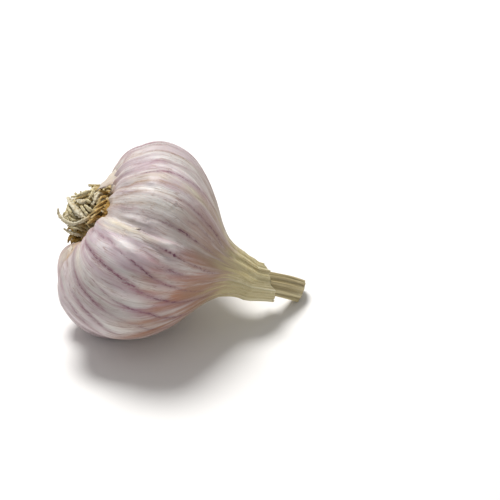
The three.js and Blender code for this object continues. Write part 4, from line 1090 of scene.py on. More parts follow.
flakes = {  # torn skin round the root plate, and the torn tip of the fold
    "thickness": 0.28,
    "rows": 14,
    "columns": 11,
    "tucked": 1.2,  # mm of each that lies under the skin
    "tuckedSlope": 0.45,
    "sunk": 0.25,  # mm
    "narrowing": (0.86, 1.15),  # share lost at its tip, power
    "wavy": 0.16,  # its sides
    "torn": (0.34, 0.1),  # its end, coarse and fine
    "cupped": 0.05,
    "crinkled": 0.12,
    "thinned": 0.6,  # share of the thickness lost at its tip
    "big": [  # (t, angle), length, width, rise, bow, toward the neck
        ((0.16, -5), 5.8, 5.8, 1.15, 0.25, False),
        ((0.12, 2), 4.5, 5.0, 0.45, 0.3, False),
        ((0.1, 128), 4.4, 5.0, 0.22, 0.5, False),
        ((0.12, 168), 5.5, 6.0, 0.2, 0.55, False),
        ((0.1, 196), 3.2, 3.6, 0.3, 0.5, False),
        ((0.12, 236), 4.6, 5.4, 0.25, 0.5, False),
        ((0.09, 268), 3.4, 4.0, 0.3, 0.5, False),
        ((0.12, 300), 5.0, 5.5, 0.22, 0.55, False),
        ((0.41, 46.5), 2.8, 2.0, 0.3, 0.2, True),
        ((0.14, 107), 2.8, 2.4, 0.25, 0.4, False),
    ],
    "shreds": {
        "count": 26,
        "seed": 17,
        "t": (0.03, 0.08),
        "length": (1.2, 3.0),
        "width": (1.2, 3.2),
        "rise": (0.1, 0.5),
        "bow": (-0.2, 0.5),
    },
    "stored": {  # what the skin's material reads on them: no streaks, some cream, tan and wax, and a little painted highlight
        "skinLineOne": (5, 0, 0),
        "skinLineTwo": (5, 0, 0),
        "skinBands": (0, 0, 0.35),
        "skinEnds": (0.3, 0, 0),
        "skinTints": (0, 0.1, 0.35),
    },
}


def flakeSlab(at, length, width, rise, bow, towardNeck, random):
    t, angle = at
    step = 0.02 if towardNeck else -0.02
    base = skinPlace(t, angle)
    run = unit(skinPlace(t + step, angle) - base)
    side = unit(skinPlace(t, angle + 2) - base)
    outward = unit(np.cross(run, side))
    if outward @ (skinPlace(t, angle, 1.0) - base) < 0:
        outward, side = -outward, -side
    rows, columns = flakes["rows"], flakes["columns"]
    alongs = np.linspace(-flakes["tucked"], length, rows)
    s, c = np.meshgrid(alongs, np.linspace(-1, 1, columns), indexing="ij")
    share = np.clip(s / length, 0, 1)
    lost, power = flakes["narrowing"]
    waves = flakes["wavy"] * np.sin(share * 9 + random.uniform(0, 6))
    half = width / 2 * (1 - lost * share ** power) * (1 - flakes["wavy"] + waves)
    coarse, fine = flakes["torn"]
    ragged = 1 - coarse * np.abs(np.sin(c * random.uniform(3, 5) + random.uniform(0, 6))) * share
    ragged -= fine * np.abs(np.sin(c * 11 + random.uniform(0, 6))) * share
    reach = s * ragged
    risen = rise * reach - bow * rise * reach ** 2 / length
    lifted = np.where(reach < 0, flakes["tuckedSlope"] * reach, risen)
    curl = flakes["cupped"] * width * (1 - c * c)
    curl = curl + flakes["crinkled"] * np.sin(c * 5 + random.uniform(0, 6)) * share
    middle = base + np.multiply.outer(reach, run) + np.multiply.outer(c * half, side)
    middle = middle + np.multiply.outer(lifted + curl - flakes["sunk"], outward)
    thick = flakes["thickness"] * (1 - flakes["thinned"] * share)[..., None] * outward / 2
    upper, lower = (middle + thick).reshape(-1, 3), (middle - thick).reshape(-1, 3)
    count = rows * columns
    faces = []
    for row in range(rows - 1):
        for column in range(columns - 1):
            a = row * columns + column
            quad = [a, a + 1, a + columns + 1, a + columns]
            faces.append(quad[::-1])
            faces.append([corner + count for corner in quad])
    rim = [*range(columns), *range(2 * columns - 1, count, columns),
           *range(count - 2, count - columns - 1, -1), *range(count - 2 * columns, 0, -columns)]
    for i, a in enumerate(rim):
        b = rim[(i + 1) % len(rim)]
        faces.append([a, b, b + count, a + count])
    way = [math.cos(angle * degree), math.sin(angle * degree), float(arcAt(t))]
    spread = np.stack([way[0] + 0 * s, way[1] + c * half / headShape["widest"], way[2] + s], axis=-1)
    spread = spread.reshape(-1, 3)
    return np.concatenate([upper, lower]), faces, np.concatenate([spread, spread])


def makeFlakes(material):
    rule = flakes["shreds"]
    random = np.random.default_rng(rule["seed"])
    wanted = list(flakes["big"])
    for index in range(rule["count"]):
        angle = 360 * (index + random.uniform(0, 0.9)) / rule["count"]
        at = (random.uniform(*rule["t"]), angle)
        sizes = [random.uniform(*rule[name]) for name in ("length", "width", "rise", "bow")]
        wanted.append((at, *sizes, False))
    points, faces, ways, start = [], [], [], 0
    for flake in wanted:
        slab, slabFaces, way = flakeSlab(*flake, random)
        points.append(slab)
        faces += [[corner + start for corner in face] for face in slabFaces]
        ways.append(way)
        start += len(slab)
    points, ways = np.concatenate(points), np.concatenate(ways)
    none = np.zeros((len(points), 3))
    attributes = {"skinWay": ways, **{name: none + stored for name, stored in flakes["stored"].items()}}
    piece = meshPiece("torn_skin_flakes", points, faces, material, attributes)
    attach(piece, "root")


makeFlakes(skinMaterial)
print("flakes made")

stalkShape = {  # a dried stem, ridged along, cut off square
    "from": 30.3,
    "end": 53,
    "radius": 3.9,
    "ridges": 9,
    "ridgeDepth": 0.28,
    "ridgeTwist": 7,
    "flattened": 0.08,
    "fibres": (31, 0.09),  # count round it, mm deep
    "cutShade": (-0.4, 0.7),  # painted shade on the sunken inner sheaths: mm behind the cut where it starts, how dark
    "rows": 90,
    "sides": 180,
    "cutRings": [  # radius share, mm behind the cut: the edges of the leaf sheaths
        (0.97, -0.12), (0.9, 0.0), (0.86, -0.55), (0.8, -0.6), (0.77, -0.05), (0.7, 0.0), (0.66, -0.6),
        (0.58, -0.65), (0.55, -0.1), (0.46, -0.05), (0.42, -0.7), (0.3, -0.75), (0.27, -0.25), (0.1, -0.3),
    ],
}

stalkFinish = {
    "ground": "straw",
    "colours": {"straw": "#b9a87c", "olive": "#8f8058", "pale": "#d9cda4"},
    "layers": {"fibre": (0.5, 9, 2.0), "strip": (2.2, 14, 3.0), "blotch": (3.0, 3, 2.0)},  # as on the skin
    "masks": {"paleStrip": ("strip", 0.35, 0.65, 0, 1), "inFurrow": ("furrow", 0, 1, 0, 0.75)},
    "coats": [("pale", ["paleStrip"]), ("olive", ["inFurrow"])],
    "shades": [("fibre", 0.3, 0.7, 0.72, 1.12)],
    "relief": [("fibre", 0.12)],  # mm high
    "gloss": ("blotch", 0, 1, 0.52, 0.77),
    "surface": {"IOR": 1.45},
}


def makeStalkMaterial():
    # Dried leaf sheaths of the stem, shrunk into a straw: dull, stringy, olive in its furrows, with painted
    # olive shade on the sunken sheaths of its cut end.
    look = stalkFinish
    material, tree = newMaterial("driedGarlicStem")
    way = addNode(tree, "Attribute", attribute_name="stalkWay").outputs["Vector"]
    values = {"furrow": addNode(tree, "Attribute", attribute_name="stalkFurrow").outputs["Fac"]}
    addStretched(tree, way, look["layers"], stalkShape["radius"], values)
    paints = {name: toLinear(colour) for name, colour in look["colours"].items()}
    addSurface(tree, look, values, paints, look["masks"], look["coats"])
    return material


def makeStalk(material):
    shape = stalkShape
    angles = np.arange(shape["sides"]) * 360 / shape["sides"]
    alongs = np.linspace(shape["from"], shape["end"], shape["rows"])
    fibreCount, fibreDepth = shape["fibres"]
    shadedBehind, darker = shape["cutShade"]
    rings, ways, furrows = [], [], []

    def stalkRing(along, share, back):
        ridge = np.cos((angles * shape["ridges"] + along * shape["ridgeTwist"]) * degree) - 1
        fibre = np.sin((angles * fibreCount + along * 5 + 60 * np.sin(along / 3)) * degree)
        oval = 1 - shape["flattened"] * np.cos(2 * angles * degree)
        radius = (shape["radius"] + shape["ridgeDepth"] * ridge + fibreDepth * (fibre - 1)) * oval * share
        rings.append(neckPlace(np.full(len(angles), along + back), radius, angles))
        ways.append(np.stack([np.cos(angles * degree) * share, np.sin(angles * degree) * share,
                              np.full(len(angles), along + back)], axis=-1))
        # the furrow share also carries the painted shade of the sunken sheaths at the cut
        furrows.append(np.clip(-ridge / 2 + (darker if back < shadedBehind else 0), 0, 1))

    for along in alongs:
        stalkRing(along, 1.0, 0.0)
    for share, back in shape["cutRings"]:
        stalkRing(shape["end"], share, back)
    points = np.concatenate([*rings, [rings[0].mean(0)], [rings[-1].mean(0)]])
    points[:, 2] = np.maximum(points[:, 2], 0)
    faces = tubeFaces(len(rings), len(angles))
    attributes = {
        "stalkWay": np.concatenate([*ways, [[0, 0, shape["from"]]], [[0, 0, shape["end"]]]]),
        "stalkFurrow": np.concatenate([*furrows, [0, 0.3]]),
    }
    piece = meshPiece("dried_stalk", points, faces, material, attributes)
    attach(piece, "root")
    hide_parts("stalk")


makeStalk(makeStalkMaterial())
print("stalk made")

plateShape = {  # corky, a little domed
    "recess": 2.0,
    "fit": 0.3,
    "radius": 9.9,
    "dome": 0.9,
    "bumps": 0.22,
    "crumbs": 0.12,
    "most": 0.3,
    "rings": 40,
    "sides": 120,
    "seed": 5,
}
rootRule = {  # the main curled roots, as in the solid
    "count": 25,
    "leftOut": (0, 6, 10),  # these would stick out of the tangle
    "seed": 41,
    "sunk": 1.4,
    "lengths": (11, 17),
    "widths": (1.5, 2.5),
    "depths": (0.9, 1.2),
    "splay": (0.05, 0.2, 0.3),
    "swirl": 2.6,
    "curls": (0.35, 0.95),
    "steps": 5,
    "taper": [1.15, 1, 0.95, 0.9, 0.75, 0.4],
}
fineRoots = {  # thin curled ones between them
    "count": 80,
    "seed": 97,
    "lengths": (5, 11.5),
    "widths": (0.5, 1.3),
    "depths": (0.4, 0.7),
    "splay": (0.05, 0.2, 0.3),
    "swirl": 2.6,
    "curls": (0.2, 0.95),
}
nestRoots = {  # flat dead roots that lie round the tangle and hold it together
    "count": 30,
    "seed": 63,
    "alongs": (-27, -18.5),
    "drifts": (-4, 2.5),
    "swings": (30, 95),  # degrees round the tangle
    "reaches": (0.55, 0.84),
    "widths": (0.8, 1.5),
    "depths": (0.5, 0.8),
    "steps": 6,
    "taper": [0.75, 1, 1.05, 1, 0.9, 0.7],
}
heart = {  # matted, broken roots in the middle of the tangle
    "from": -16,
    "to": -25.5,
    "share": 0.52,
    "lump": 0.14,
    "strands": [(0.08, 7, 17), (0.07, -11, 9)],  # height, turns along it, count round it
    "closed": 6,  # rings
    "tones": (0.5, 0.0, 0.7),  # share of its length, own tone, furrow
    "rings": 40,
    "sides": 90,
}
tuftReach = [(-29, 4.2), (-25, 7.1), (-22, 8.9), (-17, 10)]  # along, radius: roots stay inside
tuftDroop = np.array([0.15, -0.12])  # its middle, up and forward, for each mm along
rootMesh = {  # the form of every root
    "seed": 8,
    "sides": 12,
    "rowStep": 0.34,  # mm
    "rows": (9, 48),
    "furrows": 3,
    "furrowDepth": 0.18,
    "knots": 0.17,
    "knotWaves": [(9, 16), (22, 34)],
    "tip": (0.965, 0.036),  # where it rounds off, over how much of its length
    "twist": 2.5,
    "lumps": (0.2, 0.13),  # long ones, short ones
}
stubs = {  # broken ends that stick out of the tangle
    "count": 60,
    "seed": 52,
    "alongs": (-24.5, -17.5),
    "shares": (0.4, 0.72),
    "lengths": (1.0, 2.6),
    "widths": (0.5, 1.1),
    "flat": 0.8,
    "taper": [0.8, 1.1, 0.9, 1.05, 0.6],
}
endRoots = {  # broken roots that lie across the end of the tangle
    "count": 34,
    "seed": 29,
    "starts": (-25.0, -22.0),
    "middles": (-26.9, -25.6),
    "ends": (-26.4, -23.8),
    "turns": (50, 190),
    "widths": (0.8, 1.9),
    "depths": (0.6, 1.0),
    "shares": [(0.5, 0.78), (0.15, 0.62), (0.05, 0.6), (0.3, 0.75)],  # of the tangle's radius, along the root
    "taper": [0.7, 1, 1.05, 1, 0.85, 0.5],
    "lift": -0.5,  # less painted shade: they lie in the light
}
rimKnobs = {  # short ochre stubs where the roots leave the rim of the plate
    "count": 96,
    "seed": 33,
    "radius": (7.4, 9.7),
    "lengths": (1.3, 3.2),
    "widths": (0.5, 0.95),
    "sunk": 0.8,
    "splay": 0.25,
    "aside": 0.9,
    "bends": (1.1, 0.7),  # aside, inward
    "flat": 0.85,
    "toneRun": 0.4,
    "taper": [1, 0.85, 1.15, 0.9, 0.7],
}
tuftPaintedShade = {"from": 0.9, "over": 0.4, "atEnd": (-28.5, -25.5)}  # painted shade deep in the tangle, by share of the reach, and along
underTangle = {  # mm up from the axis
    "from": -1.0,
    "to": -5.0,
    "laid": (-4.8, -6.0),  # the laid roots keep their own tones down to here
    "golden": 0.88,  # share of the paleness that is lost
}
lowFan = {  # thin golden roots under the tangle
    "count": 14,
    "seed": 71,
    "alongs": (-19.2, 4),  # the first one's, how far they are spread
    "base": (-17.5, -5, 2.5),  # along, up, forward
    "bends": [(0.8, -5.6, (4.2, 5.4)), (0, -7.2, (4.4, 6))],  # along from its own, up, forward
    "tip": (-0.3, (-9.3, -8.2), (4.4, 6.2)),
    "flat": 0.8,
    "taper": [1, 1, 1, 0.8, 0.35],
    "widths": (0.55, 0.95),
    # painted shade taken off these, as on the end roots
    "lift": -0.4,
    "toneRun": 0.2,
    "paleness": 0.2,
}
laidRoots = [  # the roots toward the viewer: width, kind, points as along, up, forward
    (1.25, "pale", [(-16, 4.1, 7.2), (-19.3, 4.1, 7.2), (-20.1, 3.8, 8.4), (-21.2, 2.8, 8.9),
                    (-22.4, 1.4, 9.1), (-23.8, -0.2, 8.6), (-25.5, -1.1, 7.8), (-27.3, -1.3, 6.7),
                    (-28.9, -0.8, 5.6), (-29.7, 0.4, 4.8)]),
    (2.3, "pale", [(-16, 2, 6), (-20, 2.4, 7.1), (-21.6, 3.4, 8), (-23.8, 3.5, 7.2), (-25.7, 3.6, 5.5),
                   (-27.2, 3.4, 3.6), (-28.2, 3, 1.2)]),
    (1.15, "straw", [(-16, 3.2, 5.6), (-20, 2.8, 6.6), (-20.9, 4.2, 7.7), (-22.3, 4.9, 7.2),
                     (-23.7, 5.2, 5.9)]),
    (1.05, "straw", [(-16, 6.6, 4.4), (-18, 6.8, 4.7), (-19, 6.5, 6.6), (-19.9, 5.9, 7.2),
                     (-20.6, 5.9, 7.2), (-21.8, 6.1, 6.8), (-22.9, 5.9, 5.9)]),
    (1.4, "pale", [(-16, 4.2, 1.5), (-21.4, 4.5, 1.8), (-23.2, 6, 4.6), (-24.4, 5.6, 4.7), (-25.5, 5, 4)]),
    (1.15, "straw", [(-16, 6.9, -3.9), (-19.4, 6.3, -4.8), (-21.4, 8.3, -0.5), (-22.6, 8, 1.1),
                     (-23.5, 7.5, 1.5), (-24.6, 6.5, 2), (-26, 5.1, 2.3), (-27.4, 3.9, 1.9)]),
    (0.95, "straw", [(-16, 5.4, -5.6), (-20.7, 6.6, -5.2), (-21.9, 8.1, -1), (-21.8, 8.4, 1.8),
                     (-21.9, 8.1, 3.4), (-22.4, 7.2, 4.3), (-22.6, 6.2, 4.7)]),
    (1.3, "pale", [(-16, 7.2, 0.9), (-18, 8.1, 0.6), (-19.9, 9, 1.9), (-20.4, 8.9, 3.4), (-20.4, 8.4, 4.5),
                   (-20.4, 7.6, 5.4), (-20.7, 6.8, 5.9)]),
    (0.8, "ochre", [(-16, 8.3, 2.3), (-16.6, 8.5, 2.2), (-18.2, 8.3, 4.9), (-19.3, 7, 6.2),
                    (-19.9, 5.9, 7.1), (-20.9, 5.3, 6.5)]),
    (0.8, "ochre", [(-16, 7.4, 3.9), (-17, 7.7, 4.6), (-18.7, 6.6, 7), (-19.6, 5.5, 7.7),
                    (-20.6, 4.1, 8.1)]),
    (0.9, "ochre", [(-16, 6, 5.9), (-17.4, 6.6, 6), (-18.7, 5.4, 8), (-19.6, 3.9, 8.5)]),
    (1, "ochre", [(-16, 4.2, 6.9), (-17.9, 5, 7.5), (-19, 3.8, 8.9), (-19.7, 2.8, 9.4),
                  (-20.4, 1.7, 9.1)]),
    (1.1, "ochre", [(-16, 7.9, -2.7), (-18.3, 6.7, -5.3), (-20, 8.5, -2), (-20.9, 8.7, -0.1),
                    (-21.1, 8.1, 0.8)]),
    (1, "ochre", [(-16, 8.3, -0.9), (-17, 8.5, -1.1), (-19.1, 9.2, 1), (-20.1, 9.1, 0.7),
                  (-20.5, 8.4, 0.9)]),
    (0.9, "ochre", [(-16, 8.3, 1), (-16.4, 8.5, 1.2), (-18.3, 9.1, 2.9), (-19.1, 8.9, 3.9),
                    (-19.1, 8.3, 4.8), (-19.4, 7.2, 5.5)]),
    (1.2, "pale", [(-16, -4.6, 6.4), (-18.8, -4.5, 6.7), (-20.5, -2.9, 9), (-22, -2.9, 9.3),
                   (-24.2, -4.2, 7.8), (-25.9, -4.6, 6.7)]),
    (0.9, "straw", [(-16, -1.9, 7.7), (-19.9, -1.7, 7.8), (-21.8, -0.6, 9.3), (-23.6, -1.4, 8.8),
                    (-25.3, -2.3, 7.8)]),
    (0.85, "brown", [(-16, -5.6, 3.2), (-19.5, -6.7, 4.8), (-22.3, -5.7, 7.4), (-22.9, -8.5, 5.3),
                     (-23, -9.8, 5.8)]),
    (0.85, "brown", [(-16, -7.3, 2.9), (-19, -7, 4.9), (-21.4, -6.4, 7), (-22, -8.5, 5.8),
                     (-21.8, -9.4, 6.4)]),
    (0.85, "brown", [(-16, -6, 5.3), (-18.5, -7.3, 5.1), (-20.5, -5.8, 7.5), (-21, -8.3, 5.7),
                     (-20.7, -9.2, 6.3)]),
    (0.8, "brown", [(-16, -7.7, 4.6), (-18, -7.7, 5.3), (-19.8, -5.9, 7.4), (-19.9, -8.6, 5.9)]),
    (1.2, "brown", [(-16, 4.2, -7), (-19.8, 6.7, -5.3), (-21.1, 7.4, -3.6), (-22.4, 7, -3.6),
                    (-23.6, 5.5, -5)]),
    (0.95, "straw", [(-16, 2.2, -2.2), (-23.5, 3.2, -0.5), (-25.6, 4.5, 0.7), (-26.7, 4.3, -0.2)]),
    (0.85, "straw", [(-16, 3.4, -3.4), (-22.5, 3.4, -2.2), (-24.4, 5.3, -0.1), (-25.4, 5.5, -0.4)]),
    (0.75, "straw", [(-16, 0.8, 5.2), (-20.9, 1.5, 7), (-23.6, 0.9, 8.1), (-25.1, 0.6, 7.6),
                     (-26.1, 0.9, 6.7)]),
    (1.5, "straw", [(-16, 0.4, 4), (-22.3, 0.5, 6.2), (-25, 1.6, 6.8), (-26.5, 2.1, 5.7),
                    (-27.3, 2.5, 4.1)]),
    (0.85, "straw", [(-16, 5.4, 3.2), (-19.9, 5.7, 4.6), (-21.4, 6.9, 5.1), (-22.5, 6.8, 4.6),
                     (-22.9, 6.1, 4.6)]),
    (2.2, "brown", [(-16, 4.6, -3.6), (-20.1, 5.3, -4.1), (-22.2, 6, 0.2), (-24, 5, 1.6),
                    (-25.8, 3.8, 2.1)]),
    (2, "brown", [(-16, 3.2, 1.2), (-20.7, 5.8, 1.3), (-23.1, 5, 4), (-25.1, 3.6, 4.3)]),
    (1.6, "straw", [(-16, -3.4, 5.2), (-21.1, -0.5, 7.3), (-23.5, -1, 8), (-25.4, -1, 7.3),
                    (-26.4, -0.3, 6.5)]),
]
laidMesh = {"deepest": 1.1, "taper": [1, 1, 1, 1, 0.9, 0.45]}
rootKinds = {  # own tone, share of its length that its tone runs through, painted shade added
    "pale": (0.9, 1.0, 0.0),
    "straw": (0.45, 1.0, 0.12),
    "ochre": (0.4, 0.3, 0.0),
    "brown": (0.1, 0.8, 0.55),
}
laidSide = {"angle": 55, "room": 0.3}  # degrees; share of the reach that is kept for the laid roots

rootFinish = {
    "ground": "straw",
    "colours": {
        "straw": "#dccf9a",
        "pale": "#e2dcc6",
        "brown": "#95793a",
        # the dark brown of the painted shade in the tangle
        "deep": "#80601d",
        "ochre": "#cb9f48",
    },
    "layers": {  # mm across, mm along, detail
        "strand": (0.5, 2.5, 3.0),
        "wrinkle": (2.0, 0.8, 4.0),
        "stretch": (3.0, 4.0, 2.0),
    },
    "grit": 0.8,  # mm, crumbs and dried earth
    "parts": ("fromBase", "ownTone", "furrow"),
    "masks": {
        "atBase": ("fromBase", 0.42, 0.04, 0, 0.9),
        "earthy": ("grit", 0.48, 0.68, 0, 0.5),
        "dusty": ("grit", 0.46, 0.3, 0, 0.6),
        "inFurrow": ("furrow", 0.0, 1.0, 0, 0.5),
        "wrinkled": ("wrinkle", 0.5, 0.3, 0, 0.35),
        "stained": ("stretch", 0.52, 0.72, 0, 0.3),
        # painted shade: dark brown, the deeper in the tangle the more
        "paintedShadeInTangle": ("depth", 0.1, 1.0, 0, 0.85),
    },
    "coats": [
        ("pale", ["ownTone"]),
        ("ochre", ["stained"]),
        ("pale", ["dusty"]),
        ("ochre", ["atBase"]),
        ("brown", ["earthy"]),
        ("brown", ["inFurrow"]),
        ("brown", ["wrinkled"]),
        # painted shade inside the tangle
        ("deep", ["paintedShadeInTangle"]),
    ],
    "shades": [("strand", 0.28, 0.72, 0.78, 1.1)],
    "relief": [("strand", 0.18), ("wrinkle", 0.4), ("grit", 0.45)],  # mm high
    "gloss": ("grit", 0, 1, 0.75, 0.95),
    "surface": {"Specular IOR Level": 0.3},
}
plateFinish = {
    "ground": "plateDark",
    "colours": {"plate": "#b08c4c", "plateDark": "#6f5527"},
    "grain": 1.2,  # mm
    "masks": {"worn": ("grain", 0.35, 0.65, 0, 1)},
    "coats": [("plate", ["worn"])],
    "shades": [],
    "relief": [("grain", 0.5)],
    "gloss": ("grain", 0, 1, 0.85, 0.95),
    "surface": {"Specular IOR Level": 0.2},
}


def makeRootMaterial():
    # Dried garlic roots: dead, shrunken cords of plant fibre. Matt, straw coloured, ochre where they
    # leave the plate, with old earth in patches and painted dark-brown shade in the depth of the tangle.
    look = rootFinish
    material, tree = newMaterial("driedRootFibre")
    way = addNode(tree, "Attribute", attribute_name="rootWay").outputs["Vector"]
    tone = addNode(tree, "Attribute", attribute_name="rootTone").outputs["Vector"]
    values = dict(zip(look["parts"], addNode(tree, "SeparateXYZ", {0: tone}).outputs))
    values["depth"] = addNode(tree, "Attribute", attribute_name="rootPaintedShade").outputs["Fac"]
    addStretched(tree, way, look["layers"], 1.0, values)
    place = addNode(tree, "TexCoord").outputs["Object"]
    inputs = {"Vector": place, "Scale": 1 / (look["grit"] * mm), "Detail": 4.0}
    values["grit"] = addNode(tree, "TexNoise", inputs).outputs[0]
    paints = {name: toLinear(colour) for name, colour in look["colours"].items()}
    addSurface(tree, look, values, paints, look["masks"], look["coats"])
    return material


def makePlateMaterial():
    # Basal plate: dried corky stem tissue, dull ochre brown and crumbly, darker in its pits.
    look = plateFinish
    material, tree = newMaterial("corkyBasalPlate")
    place = addNode(tree, "TexCoord").outputs["Object"]
    inputs = {"Vector": place, "Scale": 1 / (look["grain"] * mm), "Detail": 4.0}
    values = {"grain": addNode(tree, "TexNoise", inputs).outputs[0]}
    paints = {name: toLinear(colour) for name, colour in look["colours"].items()}
    addSurface(tree, look, values, paints, look["masks"], look["coats"])
    return material


def makePlate(material):
    shape = plateShape
    face = headShape["outline"][0][0]
    floor = face + shape["recess"] + shape["fit"]
    angles = np.arange(shape["sides"]) * 360 / shape["sides"]
    random = np.random.default_rng(shape["seed"])
    radius = shape["radius"] - shape["fit"]
    rings = [neckPlace(np.full(len(angles), floor), radius, angles)]
    for share in np.linspace(1, 0.02, shape["rings"]):
        bumps = np.sin(angles * degree * 17 + 9 * share) * np.sin(share * 21 + angles * degree * 3)
        crumbs = random.uniform(-shape["crumbs"], shape["crumbs"], len(angles))
        bumps = np.clip(shape["bumps"] * bumps + crumbs, -shape["most"], shape["most"])
        dome = face - shape["dome"] * (1 - share ** 2) + bumps * min(1, share * 2)
        rings.append(neckPlace(dome, radius * share, angles))
    points = np.concatenate([*rings, [rings[0].mean(0)], [rings[-1].mean(0)]])
    faces = tubeFaces(len(rings), len(angles), turned=True)
    piece = meshPiece("basal_plate", points, faces, material)
    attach(piece, "root")
    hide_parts("root_tuft")


def turnedBy(vector, around, angle):
    return (vector * math.cos(angle) + np.cross(around, vector) * math.sin(angle)
            + around * (around @ vector) * (1 - math.cos(angle)))


def sweptRoot(stations, width, depth, faceTo, taper, random):
    sides = rootMesh["sides"]
    length = np.linalg.norm(np.diff(stations, axis=0), axis=1).sum()
    share = np.linspace(0, 1, int(np.clip(length / rootMesh["rowStep"], *rootMesh["rows"])))
    path = splineAt(stations, share)
    way = unit(np.gradient(path, axis=0))
    across = unit(np.cross(way, faceTo))
    through = np.cross(across, way)
    coarse, fine = (np.sin(share * random.uniform(*waves) + random.uniform(0, 6))
                    for waves in rootMesh["knotWaves"])
    knots = 1 + rootMesh["knots"] * (coarse + 0.5 * fine)
    tapered = np.interp(share, np.linspace(0, 1, len(taper)), taper) * knots
    tipFrom, tipLength = rootMesh["tip"]
    rounding = np.sqrt(np.clip(1 - (np.clip(share - tipFrom, 0, 1) / tipLength) ** 2, 0.05, 1))
    turn = np.linspace(0, 2 * np.pi, sides, endpoint=False)
    phase, twist = random.uniform(0, 6), random.uniform(-rootMesh["twist"], rootMesh["twist"])
    furrow = np.cos(np.add.outer(share * twist, turn * rootMesh["furrows"]) + phase)
    long, short = rootMesh["lumps"]
    lumps = long * np.sin(np.add.outer(length * share * 1.9 + phase * 3, 2 * turn))
    lumps *= np.sin(length * share * 2.7 + phase * 5)[:, None]
    lumps += short * np.sin(np.add.outer(length * share * -5.1 + phase * 7, 4 * turn))
    section = 1 + rootMesh["furrowDepth"] * (furrow - 0.6) + lumps
    half = section * (tapered * rounding)[:, None]
    wide = half * np.cos(turn) * width / 2
    deep = half * np.sin(turn) * depth / 2
    points = path[:, None, :] + wide[..., None] * across[:, None, :] + deep[..., None] * through[:, None, :]
    full = np.ones(half.shape)
    along = length * share[:, None] + random.uniform(0, 90)
    ways = np.stack([full * np.cos(turn) * width / 2, full * np.sin(turn) * width / 2, full * along], axis=-1)
    tones = np.stack([np.broadcast_to(share[:, None], half.shape), np.full(half.shape, random.uniform(0, 1)),
                      np.clip(0.5 - furrow, 0, 1) * 0.6], axis=-1)
    return points, ways, tones


def tuftMiddle(along):
    beyond = np.minimum(0, along - headShape["outline"][0][0])
    return tuftDroop[0] * beyond, tuftDroop[1] * beyond


def seededReach(along, turn):  # less toward the viewer, where the laid roots lie
    toward = np.clip(np.cos(turn - laidSide["angle"] * degree), 0, 1)
    return np.interp(along, *zip(*tuftReach)) * (1 - laidSide["room"] * toward)


def curledRoot(random, index, rule, number):
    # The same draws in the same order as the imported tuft, so that each root lies where its solid does.
    share = (index + 0.5) / rule["count"]
    turn = index * 137.5 * degree + number()
    start = plateShape["radius"] * 0.9 * math.sqrt(share)

    def between(pair):
        return pair[0] + (pair[1] - pair[0]) * number()

    length = between(rule["lengths"]) * (1 - 0.25 * share)
    base, toRim, varied = rule["splay"]
    splay = base + toRim * share + varied * (number() - 0.4)
    swirl = rule["swirl"] * (number() - 0.5)
    cosine, sine = math.cos(turn), math.sin(turn)
    way = unit(np.array([-1, splay * cosine - swirl * sine, splay * sine + swirl * cosine]))
    around = unit(np.cross(np.array([number() - 0.5, number() - 0.5, number() - 0.5]), way))
    curl = between(rule["curls"])
    point = np.array([headShape["outline"][0][0] + rootRule["sunk"], start * cosine, start * sine])
    stations = [bulbPlace(*point)]
    for step in range(rootRule["steps"]):
        point = point + way * length / rootRule["steps"]
        point[0] = max(point[0], tuftReach[0][0])
        middle = np.array(tuftMiddle(point[0]))
        off = point[1:] - middle
        reach = seededReach(point[0], math.atan2(off[1], off[0])) / np.linalg.norm(off)
        point[1:] = middle + off * min(1, reach)
        if step > 0:
            way = turnedBy(way, around, curl)
        stations.append(bulbPlace(*point))
    width, depth = between(rule["widths"]), between(rule["depths"])
    faceTo = unit(np.array([number() - 0.5, number() - 0.5, number() - 0.5]))
    return sweptRoot(stations, width, depth, faceTo, rootRule["taper"], random)


def nestRoot(random):
    rule = nestRoots
    along, drift = random.uniform(*rule["alongs"]), random.uniform(*rule["drifts"])
    turn = random.uniform(0, 2 * np.pi)
    swing = random.uniform(*rule["swings"]) * degree * random.choice([-1, 1])
    low, high = rule["reaches"]
    share = np.linspace(0, 1, rule["steps"] + 1)
    alongs = np.clip(along + drift * share, tuftReach[0][0] + 1, -18)
    out = low + (high - low) * np.clip(np.sin(share * np.pi * random.uniform(0.6, 1.2)), 0, 1)
    turns = turn + swing * share
    radius = out * seededReach(alongs, turns)
    up, forward = tuftMiddle(alongs)
    stations = bulbPlace(alongs, up + radius * np.cos(turns), forward + radius * np.sin(turns))
    faceTo = unit(stations[len(share) // 2] - bulbPlace(alongs[0], up[0], forward[0]))
    width, depth = random.uniform(*rule["widths"]), random.uniform(*rule["depths"])
    return sweptRoot(stations, width, depth, faceTo, rule["taper"], random)


def stubRoot(random):
    rule = stubs
    along, turn = random.uniform(*rule["alongs"]), random.uniform(0, 2 * np.pi)
    up, forward = tuftMiddle(along)
    reach = np.interp(along, *zip(*tuftReach)) * random.uniform(*rule["shares"])
    place = np.array([along, up + reach * math.cos(turn), forward + reach * math.sin(turn)])
    way = random.uniform(-1, 1, 3) + [0, 0.5 * math.cos(turn), 0.5 * math.sin(turn)]
    way *= random.uniform(*rule["lengths"]) / np.linalg.norm(way)
    bend = random.uniform(-0.5, 0.5, 3)
    stations = [bulbPlace(*(place + way * share + bend * share ** 2)) for share in (-0.5, 0, 0.5, 1)]
    width = random.uniform(*rule["widths"])
    return sweptRoot(stations, width, width * rule["flat"], topWay, rule["taper"], random)


